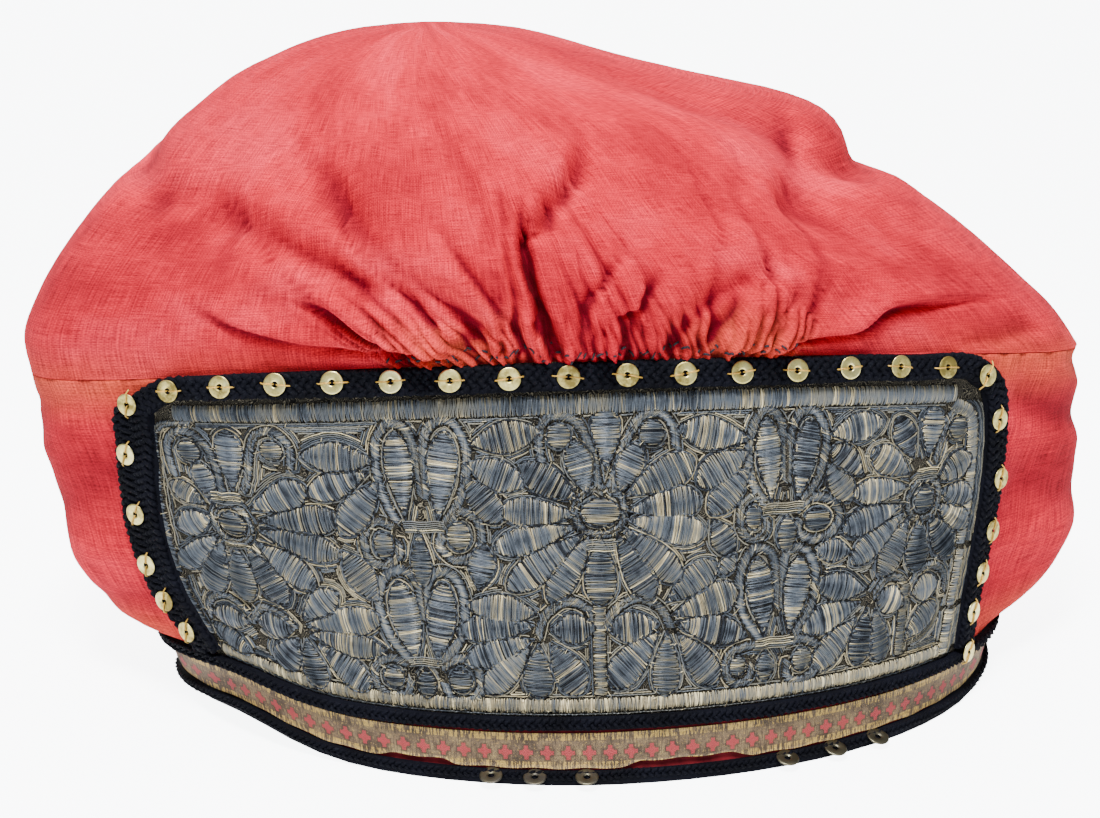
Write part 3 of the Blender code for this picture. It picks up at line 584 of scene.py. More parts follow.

# %% [markdown]
# Worn cotton has three colours: the faded face, a deeper red in the folds, which is partly red kept from
# fading and partly painted shade, and a rubbed orange along the ridges by the gathers. Small dark specks
# are the ends of old threads and dust caught in the weave.

# %% Red cotton
def red_cotton():
    made, tree, shader = finish_of("red cotton", Roughness=0.9, Specular_IOR_Level=0.12)
    flat = flat_place(tree)
    cloth = use_group(tree, weave, Flat_Place=flat, Threads_per_mm=1.9, Slubs=1.25)
    fold, rub = marked(tree, "fold"), marked(tree, "rubbed")
    blotches, fine = noise(tree, flat, 0.022, 5.0, 0.62), noise(tree, flat, 0.11, 4.0, 0.6)
    faded = ramp(tree, blotches, (
        (0.36, (0.380, 0.004, 0.018, 1)), (0.50, (0.590, 0.010, 0.030, 1)),
        (0.64, (0.770, 0.030, 0.058, 1)),
    ))
    warm = blend_colour(tree, times(tree, fine, 0.30), faded, (0.54, 0.018, 0.021, 1))
    # Painted shade: the fold mark turns the red darker; in the folds this is also a red that faded less.
    shaded_and_unfaded = blend_colour(tree, times(tree, fold, 0.95, clamp=True), warm, (0.15, 0.001, 0.009, 1))
    worn = times(tree, rub, scaled(tree, fine, 1.4), clamp=True)
    worn = blend_colour(tree, worn, shaded_and_unfaded, (0.62, 0.085, 0.035, 1))
    shade = scaled(tree, cloth.outputs["Shade"], 1.55, 1.0)
    woven = blend_colour(tree, 1.0, worn, shade, "MULTIPLY")
    specks = add(tree, "ShaderNodeTexVoronoi", Vector=flat, Scale=0.32, Randomness=1.0).outputs["Distance"]
    speck = times(tree, reckon(tree, "LESS_THAN", specks, 0.035), 0.55)
    specked = blend_colour(tree, speck, woven, (0.20, 0.02, 0.03, 1))
    tree.links.new(specked, shader.inputs["Base Color"])
    emboss(tree, shader, 0.55, 0.00022, cloth.outputs["Height"])
    return made


COTTON = red_cotton()
print(COTTON.name, "is ready")

# %% [markdown]
# ## Sewing the crown
#
# The crown's grid is fine where the pleats are and coarse behind. Each place knows how far down it lies
# in a fold or a groove between pleats, and how far round to the side it is, and the finish darkens it by
# that: painted shade, and in the folds also a red that faded less.

# %% Crown cloth
FINE_RISE = 0.0030
CLOTH_HEIGHT = 135.0


def evened(height, along, reach):
    """The height of the cloth evened out along the seam, over a few millimetres to each side."""
    weight = np.exp(-(((along[:, None] - along) / reach) ** 2)) * np.gradient(along)
    return height @ (weight / weight.sum(1, keepdims=True)).T


def crown_cloth():
    """The crown's object, the places along its seam, and its outer face."""
    along = np.concatenate([
        np.arange(-ROUND, -142.0, 3.2), np.arange(-142.0, -62.0, 1.8), np.arange(-62.0, 52.0, 0.38),
        np.arange(52.0, 142.0, 1.8), np.arange(142.0, ROUND - 1.0, 3.2),
    ])
    rise = np.concatenate([
        np.arange(0, 0.05, FINE_RISE), np.arange(0.05, 0.20, 0.0042), np.arange(0.20, 0.97, 0.0185),
    ])
    wrapped, grid_rise = np.meshgrid(along, rise)
    base = crown_plain(wrapped, grid_rise)
    normal = plane_normals(crown_plain, wrapped, grid_rise, (0.5, 0.01))
    gathers, groove = gather_height(wrapped, grid_rise)
    height = FOLD_SHARE * fold_height(wrapped, grid_rise) * smooth_step(0.0, 0.04, grid_rise) + gathers
    height *= 1.0 - smooth_step(0.86, 0.97, grid_rise)
    outer = base + normal * height[..., None] + (0, 0, 0.05)
    inner = outer - normal
    peak = np.array([[PEAK[0] + SHIFT[0], PEAK[1] + SHIFT[1], PEAK[2]]])
    rows, columns = outer.shape[:2]
    count = rows * columns
    points = np.concatenate([outer.reshape(-1, 3), inner.reshape(-1, 3), peak, peak - (0, 0, 1.0)])
    faces = [grid_faces(rows, columns, ring=True).tolist(),
             grid_faces(rows, columns, count, ring=True, turned=True).tolist()]
    around = np.arange(columns + 1) % columns
    faces.append(edge_faces(around[::-1], (around + count)[::-1]).tolist())
    top = (rows - 1) * columns
    pairs = list(zip(around[:-1], around[1:]))
    faces.append([(top + a, top + b, 2 * count) for a, b in pairs])
    faces.append([(count + top + b, count + top + a, 2 * count + 1) for a, b in pairs])
    spread = np.stack([wrapped, grid_rise * CLOTH_HEIGHT], axis=-1).reshape(-1, 2)
    maps = np.concatenate([spread, spread, [[0, CLOTH_HEIGHT], [0, CLOTH_HEIGHT]]])
    off_middle = np.abs(wrapped)
    # Painted shade: darker in the valleys of folds and pleats and in the grooves between pleats, less so at
    # the back, and darker towards the sides as the crown turns away from the light. The inner face gets a
    # fixed share.
    fine, broad = height - evened(height, along, 2.2), height - evened(height, along, 7.0)
    broad *= 0.30 + 0.45 * smooth_step(50.0, 78.0, off_middle)
    fold = (-0.55 * fine - broad + 0.80 * groove) * (1 - 0.65 * smooth_step(135.0, 160.0, off_middle))
    fold = np.clip(fold + 0.20 * smooth_step(50.0, 120.0, off_middle), 0, 1).ravel()
    near_gathers = np.exp(-(((off_middle - 34.0) / 16.0) ** 2)) * np.exp(-((grid_rise / 0.13) ** 2))
    low_sides = np.exp(-((grid_rise / 0.06) ** 2)) * smooth_step(50.0, 100.0, off_middle)
    rubbed = np.clip(0.42 * near_gathers * smooth_step(-0.4, 0.5, height) + 0.22 * low_sides, 0, 1).ravel()
    marks = {"fold": np.concatenate([fold, fold * 0 + 0.3, [0, 0.3]]),
             "rubbed": np.concatenate([rubbed, rubbed * 0, [0, 0]])}
    faces = [face for group in faces for face in group]
    return new_object("crown_cloth", points, faces, COTTON, maps=maps, marks=marks), along, outer


crown, crown_along, crown_outer = crown_cloth()
print("crown cloth has", len(crown.data.polygons), "faces")

# %% [markdown]
# The side cloth runs from one end of the front round the back to the other. It hangs slack, so it is
# full of shallow slanting creases, and it bags out low at both ends.

# %% Side cloth
FRAME_LEFT = (
    (-113.0, 16.0), (-116.8, 28.0), (-118.0, 42.0), (-116.8, 60.0), (-114.0, 78.0), (-111.8, 88.4),
)
FRAME_TOP = (
    (-105.0, 92.9), (-92.0, 93.5), (-75.0, 93.5), (-50.0, 93.0), (0.0, 92.8), (45.0, 92.9), (75.0, 93.3),
    (93.0, 92.4),
)
FRAME_RIGHT = ((99.2, 88.2), (102.8, 78.0), (105.0, 62.0), (105.4, 46.0), (105.0, 30.0), (105.4, 16.0))
EDGE_LEFT = FRAME_LEFT + ((-109.0, 91.0), (-103.0, 96.6))
EDGE_RIGHT = FRAME_RIGHT + ((96.8, 91.0), (91.5, 96.6))
SHEET_LOW, SHEET_HIGH, SHEET_GAP = 14.5, 96.3, 0.15
SIDE_THICKNESS = 1.4
SIDE_CREASES = (
    # height, width, from along and up, to along and up
    (-0.9, 4.0, 112, 84, 140, 70), (0.8, 4.0, 110, 76, 150, 58), (-0.8, 5.0, 116, 60, 150, 40),
    (0.9, 6.0, 118, 44, 160, 26), (-1.0, 3.0, 128, 93, 150, 86), (0.7, 2.5, 118, 92, 138, 80),
    (-0.8, 5.0, 160, 90, 186, 40), (0.9, 6.0, 186, 92, 204, 30), (-0.8, 5.0, 230, 90, 236, 36),
    (0.8, 6.0, 262, 88, 250, 34), (-0.9, 5.0, 292, 90, 276, 40), (0.9, 4.0, 322, 82, 296, 60),
    (-0.7, 4.0, 326, 68, 300, 44), (0.9, 5.0, 322, 46, 296, 26), (-0.6, 3.0, 318, 90, 302, 84),
    (-0.7, 3.0, 326, 30, 306, 22),
)


def frame_middle(up, path):
    """How far along the frame's middle lies at a height."""
    along, height = np.array(sorted(path, key=lambda place: place[1])).T
    return np.interp(up, height, along)


def sheet_grid(rows, columns, first_edge, last_edge, turn=0.0):
    """Places for a sheet between two edges, and the heights and shares at which they lie."""
    ups = np.linspace(SHEET_LOW, SHEET_HIGH, rows)
    shares = np.linspace(0.0, 1.0, columns)
    start = frame_middle(ups, first_edge) + SHEET_GAP
    stop = frame_middle(ups, last_edge) + turn - SHEET_GAP
    along = start[:, None] + (stop - start)[:, None] * shares
    return along, np.broadcast_to(ups[:, None], along.shape), ups, shares


def side_cloth():
    along, up, ups, shares = sheet_grid(62, 250, EDGE_RIGHT, EDGE_LEFT, 2 * ROUND)
    lift = np.zeros(along.shape)
    for height, width, from_along, from_up, to_along, to_up in SIDE_CREASES:
        foot, way = np.array([from_along, from_up]), np.array([to_along - from_along, to_up - from_up])
        t = np.clip(((along - foot[0]) * way[0] + (up - foot[1]) * way[1]) / (way @ way), 0.0, 1.0)
        gap = np.hypot(along - foot[0] - t * way[0], up - foot[1] - t * way[1])
        lift += height * np.exp(-((gap / width) ** 2))
    lift += 0.25 * np.sin(along * 0.9) * smooth_step(90.0, 96.0, up)
    edges = smooth_step(0.0, 0.02, shares) * (1 - smooth_step(0.98, 1.0, shares))
    edges = edges * smooth_step(15.5, 20.0, ups)[:, None]
    outer, inner = wall(along, up, lift * edges), wall(along, up, lift * edges - SIDE_THICKNESS)
    # Painted shade: the whole side cloth a little darker as it turns away from the light, and darker still
    # in the valleys of its creases. The inner face gets a fixed share.
    fold = np.clip(0.21 - 0.45 * lift * edges, 0, 1).ravel()
    rubbed = (0.5 * smooth_step(80.0, 96.0, up) + 0.35 * np.exp(-(((up - 18.0) / 6.0) ** 2))).ravel()
    marks = {"fold": np.concatenate([fold, fold * 0 + 0.3]), "rubbed": np.concatenate([rubbed, rubbed * 0])}
    return closed_sheet("side_cloth", outer, inner, (along, up), COTTON, marks)


sides = side_cloth()
print("side cloth has", len(sides.data.polygons), "faces")

# %% [markdown]
# ## Geometry nodes
#
# Cotton that has been worn also has a fine unevenness all over. A small tree moves each place along its
# normal by a soft noise. Its inputs have names, so the same tree serves both pieces of red cloth.

# %% Small helpers for geometry nodes
def shape_tree(name, inputs):
    """A tree for shapes with named inputs, and the nodes it begins and ends with."""
    tree = bpy.data.node_groups.new(name, "GeometryNodeTree")
    tree.interface.new_socket("Geometry", in_out="INPUT", socket_type="NodeSocketGeometry")
    for label, kind, start in inputs:
        socket = tree.interface.new_socket(label, in_out="INPUT", socket_type=kind)
        if start is not None:
            socket.default_value = start
    tree.interface.new_socket("Geometry", in_out="OUTPUT", socket_type="NodeSocketGeometry")
    return tree, tree.nodes.new("NodeGroupInput"), tree.nodes.new("NodeGroupOutput")


def close_tree(tree, end, shape, finish):
    """Every tree ends with its instances made real and its finish put on."""
    real = add(tree, "GeometryNodeRealizeInstances", Geometry=shape)
    dressed = add(tree, "GeometryNodeSetMaterial", Geometry=real.outputs[0], Material=finish)
    tree.links.new(dressed.outputs[0], end.inputs["Geometry"])


def grow(obj, tree, **values):
    """Runs a tree on an object and keeps the result as its plain mesh."""
    modifier = obj.modifiers.new(tree.name, "NODES")
    modifier.node_group = tree
    for socket in tree.interface.items_tree:
        label = socket.name.replace(" ", "_")
        if socket.in_out == "INPUT" and label in values:
            modifier[socket.identifier] = values[label]
    graph = bpy.context.evaluated_depsgraph_get()
    bent = obj.evaluated_get(graph)
    grown = bpy.data.meshes.new_from_object(bent, preserve_all_data_layers=True, depsgraph=graph)
    obj.modifiers.clear()
    before, obj.data = obj.data, grown
    bpy.data.meshes.remove(before)
    return obj


MATERIAL = "NodeSocketMaterial"
worn_cloth, begin, end = shape_tree(
    "worn cloth", [("Depth", FLOAT, 0.0002), ("Size", FLOAT, 60.0), ("Finish", MATERIAL, None)],
)
soft = add(worn_cloth, "ShaderNodeTexNoise", Scale=begin.outputs["Size"], Detail=2.0)
depth = times(worn_cloth, reckon(worn_cloth, "SUBTRACT", soft.outputs[0], 0.5), begin.outputs["Depth"])
facing = add(worn_cloth, "GeometryNodeInputNormal")
push = add(worn_cloth, "ShaderNodeVectorMath", dict(operation="SCALE"), n0=facing.outputs[0], Scale=depth)
moved = add(worn_cloth, "GeometryNodeSetPosition", Geometry=begin.outputs["Geometry"],
            Offset=push.outputs[0])
close_tree(worn_cloth, end, moved.outputs[0], begin.outputs["Finish"])
for cloth in (crown, sides):
    grow(cloth, worn_cloth, Depth=0.0007, Size=70.0, Finish=COTTON)
    print(cloth.name, "keeps", len(cloth.data.polygons), "faces")

# %% [markdown]
# ## The embroidered front
#
# The front is a stiff board covered with metal thread. Petals and leaves are cut from card, laid on the
# ground and covered with threads side by side, which is called padded satin work. The table says where
# each one lies: three large rosettes, parts of five small ones below them, and leaves that fill the
# gaps.

# %% Petals and leaves
PETALS = (
    # foot along and up, tip along and up, width, where widest, roundness of the tip, golden threads
    # centre rosette
    (-1.4, 71.5, -1.3, 85.0, 6.4, 0.75, 0.9, 0.05), (1.0, 65.8, 6.2, 77.6, 6.4, 0.60, 0.3, 0.1),
    (2.6, 65.2, 19.2, 73.0, 7.4, 0.72, 0.8, 0.5), (3.5, 61.8, 21.0, 63.6, 7.2, 0.72, 0.8, 0.9),
    (3.0, 59.8, 22.0, 55.8, 6.8, 0.70, 0.7, 0.7), (1.5, 58.2, 15.8, 45.4, 6.6, 0.70, 0.8, 0.1),
    (0.4, 56.6, 8.8, 41.4, 6.6, 0.70, 0.8, 0.15), (-3.5, 56.6, -3.7, 40.4, 7.2, 0.68, 0.8, 0.05),
    (-5.6, 56.4, -16.2, 41.6, 6.2, 0.66, 0.7, 0.05), (-7.4, 56.8, -26.0, 44.4, 6.8, 0.68, 0.7, 0.1),
    (-9.0, 58.6, -28.8, 53.8, 6.2, 0.68, 0.6, 0.5), (-8.6, 61.2, -26.6, 62.6, 6.2, 0.68, 0.8, 0.4),
    (-8.6, 64.8, -21.6, 72.8, 6.8, 0.62, 0.7, 0.2), (-6.0, 66.0, -8.8, 78.2, 6.4, 0.62, 0.4, 0.1),
    # left flower
    (-92.2, 66.0, -90.8, 81.8, 6.8, 0.72, 0.9, 0.05), (-98.6, 61.0, -100.8, 73.4, 5.4, 0.6, 0.6, 0.1),
    (-88.6, 61.4, -73.2, 68.0, 7.0, 0.70, 0.7, 0.6), (-87.0, 58.4, -65.6, 60.6, 6.8, 0.70, 0.7, 0.1),
    (-87.2, 55.8, -66.6, 51.6, 6.6, 0.66, 0.6, 0.0), (-89.0, 52.4, -74.4, 43.0, 7.4, 0.64, 0.7, 0.0),
    (-92.2, 50.6, -83.8, 37.2, 7.6, 0.68, 0.8, 0.2), (-95.2, 50.6, -95.6, 35.2, 7.6, 0.66, 0.8, 0.0),
    (-99.0, 50.8, -106.8, 35.2, 7.6, 0.66, 0.8, 0.0), (-100.0, 52.4, -113.8, 41.6, 6.2, 0.66, 0.7, 0.0),
    (-100.6, 57.6, -111.6, 53.4, 6.6, 0.6, 0.6, 0.3), (-101.4, 61.0, -110.4, 66.6, 5.6, 0.6, 0.5, 0.3),
    # right flower
    (82.0, 70.6, 82.6, 82.6, 6.2, 0.7, 0.9, 0.05), (77.4, 70.4, 71.8, 80.8, 6.0, 0.62, 0.6, 0.05),
    (86.2, 64.0, 95.8, 69.6, 7.0, 0.62, 0.6, 0.2), (87.2, 61.0, 98.2, 58.4, 6.2, 0.62, 0.6, 0.2),
    (86.8, 57.4, 98.6, 50.6, 6.0, 0.62, 0.6, 0.4), (84.2, 55.2, 93.6, 43.4, 7.0, 0.66, 0.7, 0.2),
    (81.2, 54.8, 81.6, 41.0, 7.2, 0.66, 0.8, 0.0), (77.6, 55.2, 70.4, 41.2, 6.8, 0.66, 0.8, 0.0),
    (75.8, 56.4, 61.2, 45.4, 6.2, 0.68, 0.6, 0.0), (75.6, 58.8, 58.2, 54.0, 6.2, 0.68, 0.7, 0.1),
    (76.4, 63.4, 60.4, 62.6, 6.0, 0.66, 0.6, 0.4), (76.4, 66.4, 65.2, 72.8, 6.8, 0.62, 0.7, 0.6),
    # lower left flowers
    (-79.6, 34.4, -69.0, 42.2, 6.2, 0.62, 0.5, 0.1), (-78.6, 32.8, -58.2, 36.8, 6.6, 0.66, 0.6, 0.6),
    (-78.0, 30.8, -57.8, 28.6, 6.0, 0.58, 0.4, 0.8), (-76.0, 28.0, -63.4, 19.2, 7.2, 0.66, 0.8, 0.4),
    (-79.6, 28.8, -77.6, 16.8, 6.8, 0.68, 0.8, 0.0), (-82.0, 28.4, -88.6, 19.4, 7.0, 0.66, 0.8, 0.0),
    (-82.6, 30.8, -93.4, 30.0, 6.2, 0.5, 0.3, 0.1), (-96.4, 28.6, -108.8, 28.2, 6.0, 0.5, 0.3, 0.1),
    (-110.2, 25.2, -98.6, 19.0, 5.8, 0.55, 0.4, 0.1),
    # lower middle flowers
    (-19.4, 38.8, -36.6, 40.6, 6.8, 0.5, 0.2, 0.5), (-20.4, 36.0, -39.2, 34.6, 6.4, 0.64, 0.4, 0.5),
    (-20.6, 32.8, -37.8, 27.2, 6.2, 0.62, 0.5, 0.7), (-21.2, 31.2, -33.2, 20.4, 6.4, 0.66, 0.7, 0.2),
    (-19.4, 31.6, -20.2, 19.2, 6.8, 0.68, 0.8, 0.2), (-16.6, 31.8, -9.2, 20.4, 7.6, 0.68, 0.8, 0.1),
    (-16.0, 35.0, -5.4, 35.2, 6.6, 0.5, 0.3, 0.1), (-2.4, 34.8, 10.0, 35.4, 6.8, 0.45, 0.2, 0.6),
    (10.2, 33.6, -2.0, 21.8, 7.6, 0.68, 0.8, 0.4), (12.4, 33.6, 11.8, 19.0, 6.6, 0.7, 0.9, 0.2),
    (15.2, 33.0, 24.8, 20.8, 7.0, 0.70, 0.8, 0.5), (14.6, 35.6, 32.6, 31.4, 6.4, 0.60, 0.4, 0.6),
    (13.6, 37.2, 30.4, 42.0, 7.0, 0.72, 0.7, 0.6),
    # lower right flowers
    (66.0, 38.4, 51.2, 41.8, 6.6, 0.55, 0.4, 0.0), (64.4, 35.6, 47.6, 31.2, 6.6, 0.62, 0.5, 0.7),
    (63.6, 31.8, 51.8, 21.2, 6.8, 0.66, 0.7, 0.4), (66.8, 33.8, 64.8, 20.2, 6.6, 0.68, 0.8, 0.0),
    (69.4, 33.2, 72.4, 20.0, 6.0, 0.68, 0.8, 0.0), (69.4, 36.8, 78.2, 33.0, 6.8, 0.5, 0.4, 0.5),
    (81.0, 35.4, 89.8, 37.0, 6.8, 0.5, 0.4, 0.0), (80.0, 23.8, 90.2, 31.2, 6.4, 0.6, 0.7, 0.1),
    # filling leaves
    (-32.8, 78.0, -16.4, 80.8, 7.0, 0.52, 0.3, 1.0), (15.0, 80.4, 32.6, 77.2, 7.4, 0.42, 0.2, 0.9),
    (32.8, 74.6, 20.4, 67.4, 7.6, 0.62, 0.8, 0.6), (33.2, 70.6, 23.2, 60.2, 6.8, 0.62, 0.6, 0.3),
    (-34.2, 73.8, -20.8, 68.2, 6.8, 0.55, 0.5, 0.15), (-35.2, 70.6, -26.8, 60.0, 6.8, 0.62, 0.6, 0.1),
    (-55.4, 74.6, -73.0, 76.0, 7.2, 0.55, 0.4, 0.1), (-57.2, 71.8, -72.8, 66.2, 6.4, 0.62, 0.5, 0.8),
    (-54.8, 69.8, -65.8, 56.8, 7.2, 0.62, 0.7, 0.1), (53.6, 77.4, 67.4, 80.2, 6.8, 0.55, 0.5, 1.0),
    (63.0, 67.2, 54.2, 74.4, 6.2, 0.6, 0.5, 0.6), (52.8, 70.6, 59.8, 61.2, 6.2, 0.62, 0.6, 0.1),
    (-66.2, 52.8, -58.4, 41.2, 7.2, 0.5, 0.4, 0.1), (60.8, 48.6, 50.8, 50.0, 5.2, 0.5, 0.4, 0.0),
    (-33.2, 44.4, -31.2, 54.8, 6.2, 0.55, 0.5, 0.1), (12.4, 40.4, 24.8, 48.8, 6.6, 0.66, 0.7, 0.2),
    (24.0, 58.8, 28.8, 50.2, 5.8, 0.55, 0.5, 0.2), (29.6, 50.6, 26.0, 45.8, 3.6, 0.5, 0.4, 0.2),
    # paired columns
    (-49.4, 60.6, -50.2, 81.2, 6.2, 0.66, 0.7, 0.5), (-41.6, 60.4, -38.4, 81.2, 6.6, 0.64, 0.7, 0.4),
    (-50.2, 26.6, -53.0, 45.8, 7.4, 0.62, 0.7, 0.5), (-44.8, 26.8, -41.6, 45.6, 7.0, 0.62, 0.7, 0.6),
    (38.8, 62.0, 37.0, 81.8, 5.8, 0.64, 0.7, 0.4), (45.4, 62.0, 48.4, 81.2, 6.0, 0.64, 0.7, 0.3),
    (37.8, 30.6, 35.2, 49.2, 6.6, 0.62, 0.7, 0.7), (44.2, 30.6, 46.8, 48.6, 6.8, 0.62, 0.7, 0.3),
    (-46.6, 58.2, -46.6, 44.8, 4.6, 0.66, 0.8, 0.1), (-48.2, 25.4, -48.2, 18.4, 4.6, 0.5, 0.8, 0.1),
    (43.0, 59.0, 43.0, 50.2, 4.6, 0.5, 0.8, 0.2), (38.0, 27.2, 38.0, 20.0, 4.4, 0.5, 0.8, 0.2),
)
BOSSES = (
    # along, up, half its width, half its height
    (-3.2, 61.6, 4.4, 3.0), (-94.6, 56.6, 3.6, 2.8), (82.0, 59.3, 2.8, 2.8), (-12.2, 79.4, 2.6, 2.8),
    (9.4, 79.4, 2.8, 2.8), (-102.2, 76.0, 2.9, 2.8), (-80.2, 77.0, 2.6, 2.4), (90.6, 77.2, 2.6, 2.6),
    (-55.4, 54.4, 2.2, 3.0), (-37.0, 56.8, 2.6, 3.2), (-56.6, 22.6, 2.4, 2.4), (-39.4, 22.8, 2.6, 2.6),
    (34.2, 58.8, 1.8, 2.8), (51.0, 57.4, 3.2, 2.4), (30.6, 24.2, 2.0, 2.2), (48.2, 24.0, 2.5, 2.6),
)


def petal_half_width(share, width, belly, tip):
    """Half of a petal's width at a share of its length; belly is where it is widest."""
    rising = np.sin(np.pi / 2 * np.clip(share / belly, 0, 1)) ** 1.15
    past = np.clip((share - belly) / (1 - belly), 0, 1)
    falling = np.clip(1 - past ** (1.4 + 0.9 * tip), 0, 1) ** (1.0 - 0.45 * tip)
    return np.where(share < belly, rising, falling) * width / 2


def petal_frame(row):
    """A petal's foot, the directions along and across it, and its length."""
    foot, tip = np.array(row[:2]), np.array(row[2:4])
    length = float(np.hypot(*(tip - foot)))
    ahead = (tip - foot) / length
    return foot, ahead, np.array([-ahead[1], ahead[0]]), length


def petal_outline(row, grow_by=0.0, count=26):
    foot, ahead, across, length = petal_frame(row)
    share = 0.5 - 0.5 * np.cos(np.linspace(0, np.pi, count))
    half = petal_half_width(share, *row[4:7])
    centre = foot + ahead * (share * length)[:, None]
    line = np.concatenate([centre + across * half[:, None], (centre - across * half[:, None])[-2:0:-1]])
    middle = foot + ahead * length * 0.55
    away = line - middle
    return line + away / np.maximum(np.hypot(*away.T), 1e-6)[:, None] * grow_by


def boss_outline(row, grow_by=0.0, count=26):
    turn = np.linspace(0, 2 * np.pi, count, endpoint=False)
    along, up = row[0] + (row[2] + grow_by) * np.cos(turn), row[1] + (row[3] + grow_by) * np.sin(turn)
    return np.stack([along, up], axis=-1)


print(len(PETALS), "petals and leaves,", len(BOSSES), "bosses")

# %% [markdown]
# Between them run narrow wrapped bars: the rings of the scrolls, the arches over the ovals, the double
# borders of the paired leaves that stand like columns, the stems, and the strips along the four sides.

